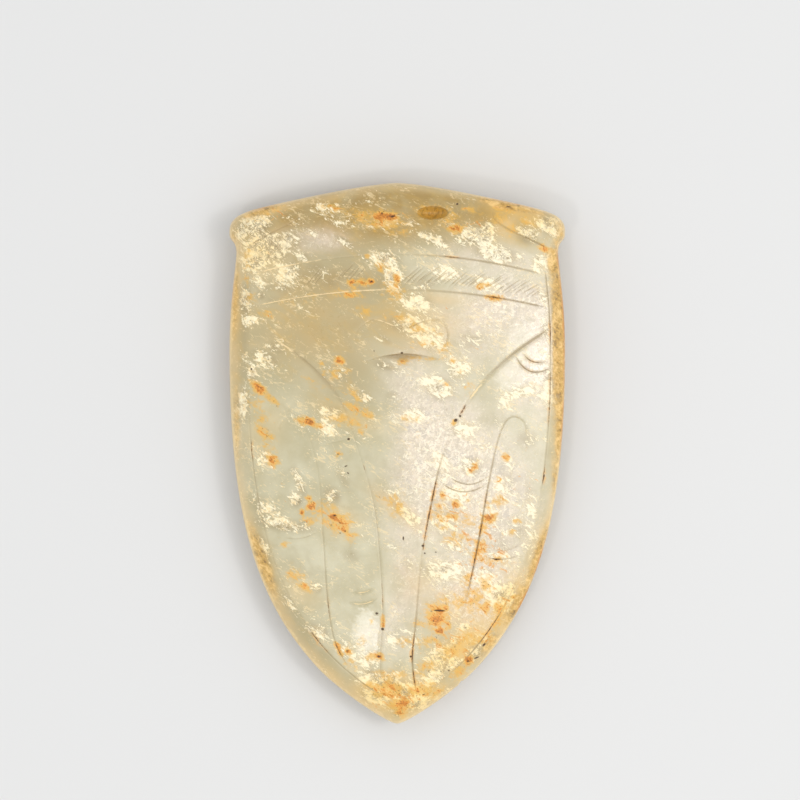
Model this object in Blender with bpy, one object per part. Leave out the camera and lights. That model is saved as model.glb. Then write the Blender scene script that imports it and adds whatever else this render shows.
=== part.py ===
"""A jade cicada, carved from one flat pebble, lying on its belly.

The back is up (+Z), the head points to +Y and the tail tip to -Y. The origin is under the middle
of the cicada, on the surface that it lies on. Lengths are in metres.
"""

import math
from collections import namedtuple

import bmesh
import bpy
import numpy as np
from mathutils import Vector, geometry

MM = 0.001

# The outline seen from above. A level is a distance from the front of the head. The width is that across
# the eyes and across the widest of the wings, and an inset is how far in from it something is.
LENGTH = 58.0 * MM
WIDTH = 36.0 * MM
EYE_LEVEL = 5.2 * MM
BROW_INSET = 4.5 * MM
BROW_LEVEL = 2.4 * MM
NECK_INSET = 0.75 * MM
NECK_LEVEL = 7.4 * MM
WING_LEVEL = 18.0 * MM
HIP_SPAN = 17.3 * MM
TAIL_LENGTH = 6.1 * MM
TAIL_ANGLE = math.radians(42.5)
TAIL_ROUNDING = 1.0 * MM

# The back: two long slopes that meet in a soft ridge, and one flat face ground across the front.
CROWN_HEIGHT = 8.5 * MM
CROWN_LEVEL = 17.0 * MM
RIDGE_OFFSET = 0.4 * MM
RIDGE_SOFTNESS = 1.1 * MM
SIDE_FALL = 2.3 * MM
SIDE_SAG = 1.2 * MM
TAIL_FALL = 3.4 * MM
HEAD_FALL = 0.4 * MM
BROW_TOP = 4.8 * MM
FACE_ANGLE = math.radians(26)
FACE_BLEND = 0.4 * MM
EYE_RISE = 0.5 * MM
EYE_RADIUS = 3.1 * MM
EYE_INSET = 2.9 * MM

# The bevelled band along the rim of the wings, the rounded edge, and the bevel under it that leaves
# a flat belly to lie on.
RIGHT_BAND = 1.6 * MM
LEFT_BAND = 2.0 * MM
BAND_FALL = 0.75 * MM
EDGE_ROUNDING = 0.45 * MM
BROW_BOTTOM = 1.7 * MM
WING_BOTTOM = 2.4 * MM
BELLY_BEVEL = 4.5 * MM

# The oval pit beside the middle of the brow: where its middle is, and its size.
PIT_ACROSS = 3.8 * MM
PIT_LEVEL = 3.3 * MM
PIT_LENGTH = 3.4 * MM
PIT_WIDTH = 1.5 * MM
PIT_DEPTH = 1.1 * MM

# Mesh spacing, on the outline, along the cuts, and between the free points of the back and the belly.
OUTLINE_STEP = 1.0 * MM
CUT_STEP = 0.75 * MM
BACK_STEP = 1.35 * MM
BELLY_STEP = 2.4 * MM
SAME_PLACE = 0.001 * MM

# The widths and depths of the cuts, and the length over which a cut runs out at both ends.
LINE_WIDTH = 0.40 * MM
LINE_DEPTH = 0.26 * MM
LINE_RUN_OUT = 1.4 * MM
FINE_WIDTH = 0.30 * MM
FINE_DEPTH = 0.17 * MM
FINE_RUN_OUT = 1.0 * MM
STROKE_WIDTH = 0.26 * MM
STROKE_DEPTH = 0.14 * MM
NOTCH_WIDTH = 1.40 * MM
NOTCH_DEPTH = 0.60 * MM
NOTCH_RUN_OUT = 3.6 * MM
VEIN_WIDTH = 0.48 * MM
VEIN_DEPTH = 0.28 * MM
RIGHT_MARGIN_WIDTH = 0.58 * MM
RIGHT_MARGIN_DEPTH = 0.30 * MM
LEFT_MARGIN_WIDTH = 0.95 * MM
LEFT_MARGIN_DEPTH = 0.24 * MM
LEFT_MARGIN_RUN_OUT = 2.0 * MM
BELLY_WIDTH = 0.44 * MM
BELLY_DEPTH = 0.22 * MM

# The kinds of cut. Left and right of its path, a cut takes these shares of its width, given once or at
# even steps along it.
Cut = namedtuple("Cut", "width depth run_out left right", defaults=([0.5], [0.5]))
PLAIN = Cut(LINE_WIDTH, LINE_DEPTH, LINE_RUN_OUT)
FINE = Cut(FINE_WIDTH, FINE_DEPTH, FINE_RUN_OUT)
STROKE = Cut(STROKE_WIDTH, STROKE_DEPTH, FINE_RUN_OUT)
NOTCH = Cut(NOTCH_WIDTH, NOTCH_DEPTH, NOTCH_RUN_OUT, [0.11], [0.89])
VEIN = Cut(VEIN_WIDTH, VEIN_DEPTH, LINE_RUN_OUT, [0.29, 0.42, 0.50, 0.31], [0.29, 0.42, 0.50, 0.31])
RIGHT_MARGIN = Cut(
    RIGHT_MARGIN_WIDTH, RIGHT_MARGIN_DEPTH, LINE_RUN_OUT, [0.69, 0.62, 0.35, 0.41, 0.31], [0.31]
)
LEFT_MARGIN = Cut(
    LEFT_MARGIN_WIDTH, LEFT_MARGIN_DEPTH, LEFT_MARGIN_RUN_OUT, [0.16], [0.32, 0.44, 0.84, 0.32, *7 * [0.17]]
)
BELLY_LINE = Cut(BELLY_WIDTH, BELLY_DEPTH, LINE_RUN_OUT)

# Where the cuts run. A place is (share of the half width there, + on the right; share of the length).
# On the head it is (share of the eyes' half width; share of the way from the front edge to the neck).
# A collar line crosses the ridge at a share of the length, bends towards the tail by another share
# at its sides, and ends at a share of the half width on the left and on the right.
COLLAR_FRONT = (0.134, 0.045, -0.885, 0.905)
COLLAR_REAR = (0.199, 0.040, -0.870, 0.905)
RIGHT_BORDER_REACH = (0.150, 0.930)
LEFT_BORDER_REACH = (0.250, 0.950)
RIGHT_EYE_LINE = [(0.56, 0.14), (0.58, 0.41), (0.75, 0.69), (0.92, 0.96)]
LEFT_EYE_LINE = [(-0.56, 0.12), (-0.58, 0.35), (-0.76, 0.63), (-0.91, 0.92)]
THORAX = [
    (-0.20, 0.318), (-0.25, 0.288), (-0.20, 0.262), (-0.13, 0.254), (0.00, 0.267),
    (0.07, 0.268), (0.16, 0.257), (0.25, 0.256), (0.30, 0.280), (0.26, 0.315),
]
SHOULDER = [(0.33, 0.278), (0.42, 0.285), (0.53, 0.285)]
NOTCH_PATH = [(-0.19, 0.331), (-0.07, 0.321), (0.04, 0.318), (0.14, 0.320), (0.25, 0.328)]
RIGHT_MARGIN_PATH = [
    (0.91, 0.268), (0.69, 0.315), (0.52, 0.364), (0.38, 0.425), (0.28, 0.499), (0.22, 0.584),
    (0.17, 0.690), (0.16, 0.817), (0.17, 0.880), (0.38, 0.945),
]
LEFT_MARGIN_PATH = [
    (-0.79, 0.276), (-0.62, 0.311), (-0.48, 0.347), (-0.34, 0.401), (-0.23, 0.499), (-0.15, 0.590),
    (-0.12, 0.690), (-0.12, 0.796), (-0.18, 0.870), (-0.29, 0.936),
]
RIGHT_VEIN = [
    (0.78, 0.472), (0.76, 0.442), (0.68, 0.433), (0.62, 0.462), (0.57, 0.550), (0.545, 0.660),
    (0.54, 0.766), (0.57, 0.855), (0.62, 0.918),
]
LEFT_VEIN = [
    (-0.71, 0.472), (-0.70, 0.443), (-0.63, 0.434), (-0.55, 0.457), (-0.49, 0.530), (-0.495, 0.660),
    (-0.545, 0.766), (-0.61, 0.845), (-0.61, 0.895),
]
# The small arcs across the cells of the wings: the middle of each one's ends, its length, its sag
# towards the tail and its turn.
SMALL_ARCS = [
    (0.81, 0.329, 4.2 * MM, 1.2 * MM, math.radians(-18)),
    (0.815, 0.320, 2.9 * MM, 0.65 * MM, math.radians(-20)),
    (-0.81, 0.329, 4.2 * MM, 1.2 * MM, math.radians(18)),
    (0.41, 0.553, 5.1 * MM, 1.0 * MM, math.radians(-3)),
    (0.44, 0.541, 4.3 * MM, 0.9 * MM, math.radians(0)),
    (0.75, 0.671, 3.6 * MM, 0.35 * MM, math.radians(13)),
    (0.725, 0.687, 4.2 * MM, 0.45 * MM, math.radians(2)),
    (-0.70, 0.621, 5.0 * MM, 0.8 * MM, math.radians(9)),
    (-0.65, 0.648, 4.0 * MM, 0.5 * MM, math.radians(8)),
    (-0.255, 0.750, 2.9 * MM, 0.3 * MM, math.radians(12)),
    (-0.27, 0.768, 3.5 * MM, 0.5 * MM, math.radians(8)),
]
# The slanting strokes between the collar lines: where each starts on the rear line, how far it leans
# to the right, and the gaps that it keeps to the rear line and to the front line.
RIGHT_STROKES = np.linspace(0.04, 0.84, 16)
LEFT_STROKES = [-0.57, -0.52, -0.37, -0.32, -0.27]
RIGHT_LEAN = 2.7 * MM
LEFT_LEAN = 2.3 * MM
RIGHT_GAPS = (0.25 * MM, 0.30 * MM)
LEFT_GAPS = (0.70 * MM, 0.30 * MM)

# The belly's cuts: one side of the mouth and of the folded wings, the midline, and the rings of the
# abdomen, whose reach falls off towards the tail.
MOUTH = [(0.42, 0.110), (0.21, 0.160), (0.11, 0.240), (0.06, 0.340)]
FOLDED_WING = [(0.65, 0.200), (0.61, 0.340), (0.58, 0.480), (0.54, 0.620), (0.46, 0.750), (0.30, 0.860)]
MIDLINE = [(0, 0.360), (0, 0.390), (0, 0.420)]
RING_COUNT = 5
FIRST_RING = 0.440
RING_GAP = 0.085
RING_BOW = 0.022
FIRST_REACH = 8.6 * MM
REACH_LOSS = 0.033


def on_plan(half_width, level):
    return Vector((half_width, LENGTH / 2 - level))


def half_outline():
    """The right half of the outline, from the front of the head to the tail tip."""
    side, hip, hip_level = WIDTH / 2, HIP_SPAN / 2, LENGTH - TAIL_LENGTH
    brow, neck = side - BROW_INSET, side - NECK_INSET
    turn = EYE_LEVEL + 0.4 * (NECK_LEVEL - EYE_LEVEL)
    flank, rear = WING_LEVEL - NECK_LEVEL, hip_level - WING_LEVEL
    into_tail = Vector((-math.sin(TAIL_ANGLE), -math.cos(TAIL_ANGLE)))
    front, brow_corner, eye_side = on_plan(0, 0), on_plan(brow, BROW_LEVEL), on_plan(side, EYE_LEVEL)
    notch_turn, neck_point = on_plan(side - 0.25 * NECK_INSET, turn), on_plan(neck, NECK_LEVEL)
    widest, hip_point, tip = on_plan(side, WING_LEVEL), on_plan(hip, hip_level), on_plan(0, LENGTH)
    into_turn = on_plan(side, turn - 0.25 * (turn - EYE_LEVEL))
    out_of_turn = on_plan(neck + 0.35 * NECK_INSET, turn + 0.2 * (NECK_LEVEL - turn))
    brow_handle, neck_handle = on_plan(0.7 * brow, 0.62 * BROW_LEVEL), on_plan(neck, NECK_LEVEL + 0.14 * flank)
    first_eye_handle = on_plan(brow + 0.65 * BROW_INSET, 1.29 * BROW_LEVEL)
    curves = [
        (front, on_plan(0.22 * brow, 0.02 * BROW_LEVEL), brow_handle, brow_corner, 1.0),
        (brow_corner, first_eye_handle, on_plan(side, 0.6 * BROW_LEVEL + 0.4 * EYE_LEVEL), eye_side, 0.6),
        (eye_side, on_plan(side, 0.6 * EYE_LEVEL + 0.4 * turn), into_turn, notch_turn, 0.4),
        (notch_turn, out_of_turn, on_plan(neck, 0.5 * (NECK_LEVEL + turn)), neck_point, 0.4),
        (neck_point, neck_handle, on_plan(side, WING_LEVEL - 0.52 * flank), widest, 1.0),
        (widest, on_plan(side, WING_LEVEL + 0.486 * rear), hip_point - 0.305 * rear * into_tail, hip_point, 1.0),
        (hip_point, hip_point + 0.6 * TAIL_LENGTH * into_tail, on_plan(TAIL_ROUNDING, LENGTH), tip, 0.8),
    ]
    points = [front]
    for *corners, fineness in curves:
        run = sum((there - here).length for here, there in zip(corners, corners[1:]))
        count = max(3, round(run / (OUTLINE_STEP * fineness)) + 1)
        points += geometry.interpolate_bezier(*corners, count)[1:]
    return np.array([(point[0], point[1]) for point in points])


def whole_outline(right):
    """The closed outline, from the front down the left, round the tail and up the right."""
    left = right[1:] * (-1, 1)
    return np.vstack([left, right[-2::-1]])


def inward_normals(loop):
    along = np.roll(loop, -1, axis=0) - np.roll(loop, 1, axis=0)
    along /= np.hypot(*along.T)[:, None]
    return np.column_stack([-along[:, 1], along[:, 0]])


def moved_in(loop, inwards, distance):
    """The loop moved inwards. A point near the tail tip stays on its own side of the middle."""
    moved = loop + distance * inwards
    least = 0.3 * np.abs(loop[:, 0])
    moved[:, 0] = np.sign(loop[:, 0]) * np.maximum(np.sign(loop[:, 0]) * moved[:, 0], least)
    return moved


HALF_OUTLINE = half_outline()
OUTLINE = whole_outline(HALF_OUTLINE)
INWARDS = inward_normals(OUTLINE)
SHEET_EDGE = moved_in(OUTLINE, INWARDS, EDGE_ROUNDING)


def half_width(y):
    return np.interp(-y, -HALF_OUTLINE[:, 1], HALF_OUTLINE[:, 0])


def front_edge(x):
    """The level of the head's front edge."""
    head = HALF_OUTLINE[HALF_OUTLINE[:, 1] > LENGTH / 2 - EYE_LEVEL]
    return LENGTH / 2 - np.interp(abs(x), *head.T)


def place(across, along):
    """A place on the plan, as a share of the half width there and a share of the length."""
    y = (0.5 - along) * LENGTH
    return Vector((across * half_width(min(y, LENGTH / 2 - EYE_LEVEL)), y))


def head_place(across, along):
    """A place on the head, as shares of its half width and of the way from its front edge to the neck."""
    x = across * WIDTH / 2
    return on_plan(x, front_edge(x) + along * (NECK_LEVEL - front_edge(x)))


def run_along(path):
    """How far along the path each of its points is."""
    return np.append(0, np.cumsum(np.hypot(*np.diff(path, axis=0).T)))


def even_steps(path, step):
    """The same path with evenly spaced points."""
    run = run_along(path)
    stops = np.linspace(0, run[-1], max(4, round(run[-1] / step) + 1))
    return np.column_stack([np.interp(stops, run, path[:, 0]), np.interp(stops, run, path[:, 1])])


def smooth_path(places, finder=place):
    """Evenly spaced points on a smooth curve through the given places."""
    points = [finder(*spot) for spot in places]
    padded = [2 * points[0] - points[1], *points, 2 * points[-1] - points[-2]]
    fine = [points[0]]
    for before, start, stop, after in zip(padded, padded[1:], padded[2:], padded[3:]):
        reach = (stop - start).length / 3
        first_handle = start + (stop - before).normalized() * reach
        second_handle = stop - (after - start).normalized() * reach
        fine += geometry.interpolate_bezier(start, first_handle, second_handle, stop, 17)[1:]
    return even_steps(np.array([(point[0], point[1]) for point in fine]), CUT_STEP)


def bow(middle, bend, left_end, right_end):
    """A line across the back that bends towards the tail at its sides."""
    shares = np.linspace(left_end, right_end, 41)
    return even_steps(np.array([place(share, middle + bend * share**2) for share in shares]), CUT_STEP)


def small_arc(across, along, length, sag, turn):
    middle = place(across, along)
    shares = np.linspace(-1, 1, 7)
    x, y = shares * length / 2, -sag * (1 - shares**2)
    return np.column_stack([
        middle.x + x * math.cos(turn) - y * math.sin(turn),
        middle.y + x * math.sin(turn) + y * math.cos(turn),
    ])


def strokes(starts, lean, gaps):
    """Slanting strokes from the rear collar line forwards to the front one, or to its end."""
    rear, front = bow(*COLLAR_REAR), bow(*COLLAR_FRONT)
    paths = []
    for start in starts:
        low_x = place(start, COLLAR_REAR[0]).x
        low_y = np.interp(low_x, *rear.T) + gaps[0]
        rise = np.interp(low_x + lean, *front.T) - gaps[1] - low_y
        share = min(1, (front[-1, 0] - low_x) / lean)
        paths.append(np.linspace((low_x, low_y), (low_x + share * lean, low_y + share * rise), 4))
    return paths


def measure(points, path):
    """For each point: its distance from the path, the nearest place along it, and the side (+1 left)."""
    starts, steps = path[:-1], np.diff(path, axis=0)
    lengths = np.hypot(*steps.T)
    from_start = points[:, None] - starts
    share = np.clip((from_start * steps).sum(axis=2) / lengths**2, 0, 1)
    gaps = np.hypot(*np.moveaxis(from_start - share[..., None] * steps, 2, 0))
    nearest = gaps.argmin(axis=1)
    rows = np.arange(len(points))
    offset, step = from_start[rows, nearest], steps[nearest]
    side = np.sign(step[:, 0] * offset[:, 1] - step[:, 1] * offset[:, 0])
    return gaps[rows, nearest], run_along(path)[nearest] + share[rows, nearest] * lengths[nearest], side


def inset_of(points):
    """How far each point is inside the outline."""
    return measure(points, np.vstack([OUTLINE, OUTLINE[:1]]))[0]


def reach_of(cut, shares, distance, total):
    """How wide the cut is on one side of its path, at a distance along it."""
    return cut.width * np.interp(distance / total, np.linspace(0, 1, len(shares)), shares)


def strength(distance, total, run_out):
    """1 along most of a cut, falling to 0 at both ends."""
    return np.clip(np.minimum(distance, total - distance) / run_out, 0, 1)


def cut_depth(points, cuts):
    """How deep the deepest of the cuts is at each point."""
    deepest = np.zeros(len(points))
    for cut, path in cuts:
        gap, distance, side = measure(points, path)
        total = run_along(path)[-1]
        left, right = (reach_of(cut, shares, distance, total) for shares in (cut.left, cut.right))
        reach = np.where(side > 0, left, right)
        deepest = np.maximum(deepest, cut.depth * (strength(distance, total, cut.run_out) - gap / reach))
    return deepest


def pit_depth(points):
    """An oval pit, deeper on the side towards the tail."""
    across = (points[:, 0] - PIT_ACROSS) / (PIT_LENGTH / 2)
    along = (points[:, 1] - (LENGTH / 2 - PIT_LEVEL)) / (PIT_WIDTH / 2)
    hollow = np.clip(1 - across**2 - along**2, 0, 1)
    return PIT_DEPTH * hollow**0.8 * (1 - 0.35 * along)


def smaller(first, second, blend):
    """The smaller of two heights, with the corner between them rounded."""
    overlap = np.maximum(blend - np.abs(first - second), 0)
    return np.minimum(first, second) - overlap**2 / (4 * blend)


def smooth_step(share):
    share = np.clip(share, 0, 1)
    return share**2 * (3 - 2 * share)


def behind_neck(points):
    """0 on the head, 1 on the wings, with a smooth change behind the neck."""
    level = LENGTH / 2 - points[:, 1]
    return smooth_step((level - 0.9 * NECK_LEVEL) / (0.5 * NECK_LEVEL))


def band_width(points):
    """How wide the rim's band is: wider on the left, with a smooth change over the tail tip."""
    return LEFT_BAND + (RIGHT_BAND - LEFT_BAND) * smooth_step(0.5 + points[:, 0] / (0.2 * WIDTH))


def plain_back(points):
    """The back's height before it was engraved."""
    x, level, inset = points[:, 0], LENGTH / 2 - points[:, 1], inset_of(points)
    side, softness = np.abs(x - RIDGE_OFFSET) / (WIDTH / 2), RIDGE_SOFTNESS / (WIDTH / 2)
    tailwards = np.clip((level - CROWN_LEVEL) / (LENGTH - CROWN_LEVEL), 0, 1)
    headwards = np.clip((CROWN_LEVEL - level) / CROWN_LEVEL, 0, 1)
    roof = CROWN_HEIGHT - SIDE_FALL * (np.hypot(side, softness) - softness) - SIDE_SAG * side**2
    roof -= TAIL_FALL * tailwards**2 + HEAD_FALL * headwards**2
    face = BROW_TOP + math.tan(FACE_ANGLE) * level
    band = np.clip(1 - (inset - EDGE_ROUNDING) / (band_width(points) - EDGE_ROUNDING), 0, 1)
    from_eye = np.hypot(np.abs(x) - (WIDTH / 2 - EYE_INSET), level - EYE_LEVEL) / EYE_RADIUS
    eye = EYE_RISE * np.clip(1 - from_eye**2, 0, 1) ** 2 * smooth_step((inset - EDGE_ROUNDING) / EYE_RISE)
    return smaller(roof, face, FACE_BLEND) - BAND_FALL * behind_neck(points) * band + eye


def back(points):
    return plain_back(points) - np.maximum(cut_depth(points, BACK_CUTS), pit_depth(points))


def belly(points):
    """The underside's height: flat in the middle, bevelled up to the rim."""
    rim = BROW_BOTTOM + (WING_BOTTOM - BROW_BOTTOM) * behind_neck(points)
    bevel = rim * np.clip(1 - (inset_of(points) - EDGE_ROUNDING) / BELLY_BEVEL, 0, 1)
    return bevel + cut_depth(points, BELLY_CUTS)


def inset_loop(distances):
    """The outline moved inwards. Points that would cross over near a corner are left out."""
    moved = OUTLINE + np.reshape(distances, (-1, 1)) * INWARDS
    return moved[inset_of(moved) > 0.97 * np.ravel(distances)]


def crease():
    """The line where the band meets the back, from the left of the neck round the tail to the right."""
    loop = inset_loop(band_width(OUTLINE))
    return even_steps(loop[LENGTH / 2 - loop[:, 1] > 1.1 * NECK_LEVEL], CUT_STEP)


def stretch(path, reach, side):
    """The points of the path on one side, between two shares of the length."""
    along = 0.5 - path[:, 1] / LENGTH
    return path[(path[:, 0] * side > 0) & (along > reach[0]) & (along < reach[1])]


def both_sides(places):
    return [smooth_path([(side * across, along) for across, along in places]) for side in (-1, 1)]


def abdomen_rings():
    rings = []
    shares = np.linspace(-1, 1, 9)
    for number in range(RING_COUNT):
        reach = FIRST_REACH * (1 - REACH_LOSS * number * (number + 1))
        along = FIRST_RING + number * RING_GAP + RING_BOW * (1 - shares**2)
        rings.append(even_steps(np.column_stack([shares * reach, (0.5 - along) * LENGTH]), CUT_STEP))
    return rings


CREASE = crease()
BACK_CUTS = [
    (PLAIN, bow(*COLLAR_FRONT)),
    (PLAIN, bow(*COLLAR_REAR)),
    (PLAIN, smooth_path(RIGHT_EYE_LINE, head_place)),
    (PLAIN, smooth_path(LEFT_EYE_LINE, head_place)),
    (FINE, smooth_path(THORAX)),
    (FINE, smooth_path(SHOULDER)),
    (NOTCH, smooth_path(NOTCH_PATH)),
    (RIGHT_MARGIN, smooth_path(RIGHT_MARGIN_PATH)),
    (LEFT_MARGIN, smooth_path(LEFT_MARGIN_PATH)),
    (VEIN, smooth_path(RIGHT_VEIN)),
    (PLAIN, smooth_path(LEFT_VEIN)),
    (PLAIN, stretch(CREASE, RIGHT_BORDER_REACH, 1)),
    (PLAIN, stretch(CREASE, LEFT_BORDER_REACH, -1)),
    *((FINE, small_arc(*arc)) for arc in SMALL_ARCS),
    *((STROKE, stroke) for stroke in strokes(RIGHT_STROKES, RIGHT_LEAN, RIGHT_GAPS)),
    *((STROKE, stroke) for stroke in strokes(LEFT_STROKES, LEFT_LEAN, LEFT_GAPS)),
]
BELLY_PATHS = [*both_sides(MOUTH), *both_sides(FOLDED_WING), smooth_path(MIDLINE), *abdomen_rings()]
BELLY_CUTS = [(BELLY_LINE, path) for path in BELLY_PATHS]


class Plan:
    """Points and edges on the flat, gathered to be triangulated inside a boundary."""

    def __init__(self, boundary):
        self.points = [tuple(point) for point in boundary]
        self.border = list(range(len(boundary)))
        self.edges = []

    def add_line(self, points, closed=False):
        first, count = len(self.points), len(points)
        self.points += [tuple(point) for point in points]
        self.edges += [(first + k, first + k + 1) for k in range(count - 1)]
        if closed:
            self.edges.append((first + count - 1, first))

    def add_cut(self, cut, path):
        """A cut's floor and its two lips, which meet the floor at both ends."""
        run = run_along(path)
        spread = strength(run, run[-1], cut.run_out)
        along = np.gradient(path, axis=0)
        along /= np.hypot(*along.T)[:, None]
        leftwards = np.column_stack([-along[:, 1], along[:, 0]])
        self.add_line(path)
        self.add_line(path + (reach_of(cut, cut.left, run, run[-1]) * spread)[:, None] * leftwards)
        self.add_line(path - (reach_of(cut, cut.right, run, run[-1]) * spread)[:, None] * leftwards)

    def add_pit(self):
        """Ovals round the pit, and the point at its floor."""
        for share, count in ((1.0, 24), (0.88, 24), (0.65, 18), (0.35, 10)):
            turns = np.arange(count) * 2 * math.pi / count
            x = PIT_ACROSS + share * PIT_LENGTH / 2 * np.cos(turns)
            y = LENGTH / 2 - PIT_LEVEL + share * PIT_WIDTH / 2 * np.sin(turns)
            self.add_line(np.column_stack([x, y]), closed=True)
        self.points.append((PIT_ACROSS, LENGTH / 2 - PIT_LEVEL))

    def add_free(self, candidates, gap):
        """The candidates that keep at least this gap from every point so far."""
        for candidate in candidates:
            if np.hypot(*(np.array(self.points) - candidate).T).min() > gap:
                self.points.append(tuple(candidate))

    def fill(self, spacing):
        """Free points in a triangular lattice, where nothing else is near."""
        rows = np.arange(-LENGTH / 2, LENGTH / 2, spacing * math.sqrt(3) / 2)
        columns = np.arange(-OUTLINE[:, 0].max(), OUTLINE[:, 0].max(), spacing)
        lattice = np.array([(x + (k % 2) * spacing / 2, y) for k, y in enumerate(rows) for x in columns])
        lattice = lattice[np.abs(lattice[:, 0]) < half_width(lattice[:, 1])]
        self.add_free(lattice[inset_of(lattice) > EDGE_ROUNDING + 0.5 * spacing], 0.55 * spacing)

    def triangles(self):
        """The points and triangles inside the boundary."""
        points, _, faces, *_ = geometry.delaunay_2d_cdt(
            [Vector(point) for point in self.points], self.edges, [self.border], 1, SAME_PLACE
        )
        return np.array([tuple(point) for point in points]), faces


def back_plan():
    plan = Plan(SHEET_EDGE)
    plan.add_line(CREASE)
    for cut, path in BACK_CUTS:
        plan.add_cut(cut, path)
    plan.add_pit()
    plan.add_free(inset_loop(np.full(len(OUTLINE), (EDGE_ROUNDING + RIGHT_BAND) / 2)), 0.4 * BACK_STEP)
    plan.fill(BACK_STEP)
    return plan


def belly_plan():
    plan = Plan(SHEET_EDGE)
    plan.add_line(inset_loop(np.full(len(OUTLINE), EDGE_ROUNDING + BELLY_BEVEL)), closed=True)
    for cut, path in BELLY_CUTS:
        plan.add_cut(cut, path)
    plan.fill(BELLY_STEP)
    return plan


def add_sheet(mesh, plan, height):
    """One side of the cicada: the plan's triangles, with each point lifted to its height."""
    points, faces = plan.triangles()
    corners = [mesh.verts.new((x, y, z)) for (x, y), z in zip(points, height(points))]
    for face in faces:
        mesh.faces.new([corners[k] for k in face])


def add_edge(mesh):
    """The rounded edge that joins the two sides."""
    top, bottom = back(SHEET_EDGE), belly(SHEET_EDGE)
    loops = []
    for turn in np.radians((-90, -45, 0, 45, 90)):
        plan = OUTLINE + (1 - math.cos(turn)) * (SHEET_EDGE - OUTLINE)
        heights = (top + bottom) / 2 + math.sin(turn) * (top - bottom) / 2
        corners = [mesh.verts.new((x, y, z)) for (x, y), z in zip(plan, heights)]
        loops.append([mesh.edges.new((corners[k - 1], corners[k])) for k in range(len(corners))])
    for lower, upper in zip(loops, loops[1:]):
        bmesh.ops.bridge_loops(mesh, edges=lower + upper)


def jade():
    """Pale green nephrite, yellowed by burial."""
    material = bpy.data.materials.new("jade")
    material.use_nodes = True
    shader = material.node_tree.nodes["Principled BSDF"]
    shader.inputs["Base Color"].default_value = (0.60, 0.56, 0.37, 1)
    shader.inputs["Roughness"].default_value = 0.28
    shader.inputs["Metallic"].default_value = 0.0
    return material


def make_cicada():
    mesh = bmesh.new()
    add_sheet(mesh, back_plan(), back)
    add_sheet(mesh, belly_plan(), belly)
    add_edge(mesh)
    bmesh.ops.remove_doubles(mesh, verts=mesh.verts, dist=SAME_PLACE)
    bmesh.ops.recalc_face_normals(mesh, faces=mesh.faces)
    data = bpy.data.meshes.new("jade_cicada")
    mesh.to_mesh(data)
    mesh.free()
    data.shade_smooth()
    data.set_sharp_from_angle(angle=math.radians(35))
    data.materials.append(jade())
    bpy.context.scene.collection.objects.link(bpy.data.objects.new("jade_cicada", data))


for old in list(bpy.data.objects):
    bpy.data.objects.remove(old)

make_cicada()
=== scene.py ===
# %% [markdown]
# # A jade cicada, seen from above
# The real object is a flat cicada about 58 mm long, ground and polished from one pebble of pale green
# nephrite. Its long burial left chalky flecks, russet stains and dark soil in the cuts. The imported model
# already holds its true form as one faceted solid. This lesson gives that solid a fine, worn skin and the
# colours of the old stone, and lights it for a view from straight above.

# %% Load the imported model
import math
from collections import namedtuple
from itertools import product

import bmesh
import bpy
import numpy as np
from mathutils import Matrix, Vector, geometry, noise


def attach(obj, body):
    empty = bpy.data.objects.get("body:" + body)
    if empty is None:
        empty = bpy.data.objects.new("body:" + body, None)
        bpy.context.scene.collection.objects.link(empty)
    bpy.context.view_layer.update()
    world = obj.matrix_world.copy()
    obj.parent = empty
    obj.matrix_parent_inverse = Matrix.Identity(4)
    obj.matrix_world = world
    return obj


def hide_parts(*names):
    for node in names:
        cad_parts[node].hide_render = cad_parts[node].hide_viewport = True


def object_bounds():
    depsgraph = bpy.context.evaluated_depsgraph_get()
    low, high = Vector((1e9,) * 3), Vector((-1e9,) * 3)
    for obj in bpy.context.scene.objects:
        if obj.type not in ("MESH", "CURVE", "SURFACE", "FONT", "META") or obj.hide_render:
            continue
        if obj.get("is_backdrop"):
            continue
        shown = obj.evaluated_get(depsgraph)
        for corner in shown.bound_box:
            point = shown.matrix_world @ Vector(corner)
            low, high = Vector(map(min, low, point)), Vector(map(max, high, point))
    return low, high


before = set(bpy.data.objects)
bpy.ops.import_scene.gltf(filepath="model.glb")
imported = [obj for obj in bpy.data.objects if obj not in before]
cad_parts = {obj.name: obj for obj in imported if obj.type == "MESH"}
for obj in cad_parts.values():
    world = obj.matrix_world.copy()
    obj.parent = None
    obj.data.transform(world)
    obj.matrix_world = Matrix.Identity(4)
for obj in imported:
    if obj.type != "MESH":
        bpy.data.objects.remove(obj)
cad_low, cad_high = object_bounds()
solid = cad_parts["jade_cicada"]
MM = 0.001
LENGTH = cad_high.y - cad_low.y
WIDTH = cad_high.x - cad_low.x
print(f"the solid is {WIDTH / MM:.1f} mm wide, {LENGTH / MM:.1f} mm long and {cad_high.z / MM:.2f} mm high")

# %% [markdown]
# ## The outline
# Seen from above, the cicada is a shield: a low brow, an eye at each side with a small notch behind it,
# long wings, and a pointed tail. The solid has this outline in steps of about a millimetre. A polished
# stone shows every corner in its glints, so the same curves are drawn here again in much finer steps, and
# the skin is fitted to them. The half outline is a chain of Bezier curves, which needs only seven spans.

# %% Draw the outline
EYE_LEVEL = 5.2 * MM
BROW_INSET = 4.5 * MM
BROW_LEVEL = 2.4 * MM
NECK_INSET = 0.75 * MM
NECK_LEVEL = 7.4 * MM
WING_LEVEL = 18.0 * MM
HIP_SPAN = 17.3 * MM
TAIL_LENGTH = 6.1 * MM
TAIL_ANGLE = math.radians(42.5)
TAIL_ROUNDING = 1.0 * MM
OUTLINE_STEP = 0.35 * MM


def on_plan(half_width, level):
    """A place on the plan. A level is a distance from the front of the head."""
    return Vector((half_width, LENGTH / 2 - level))


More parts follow.
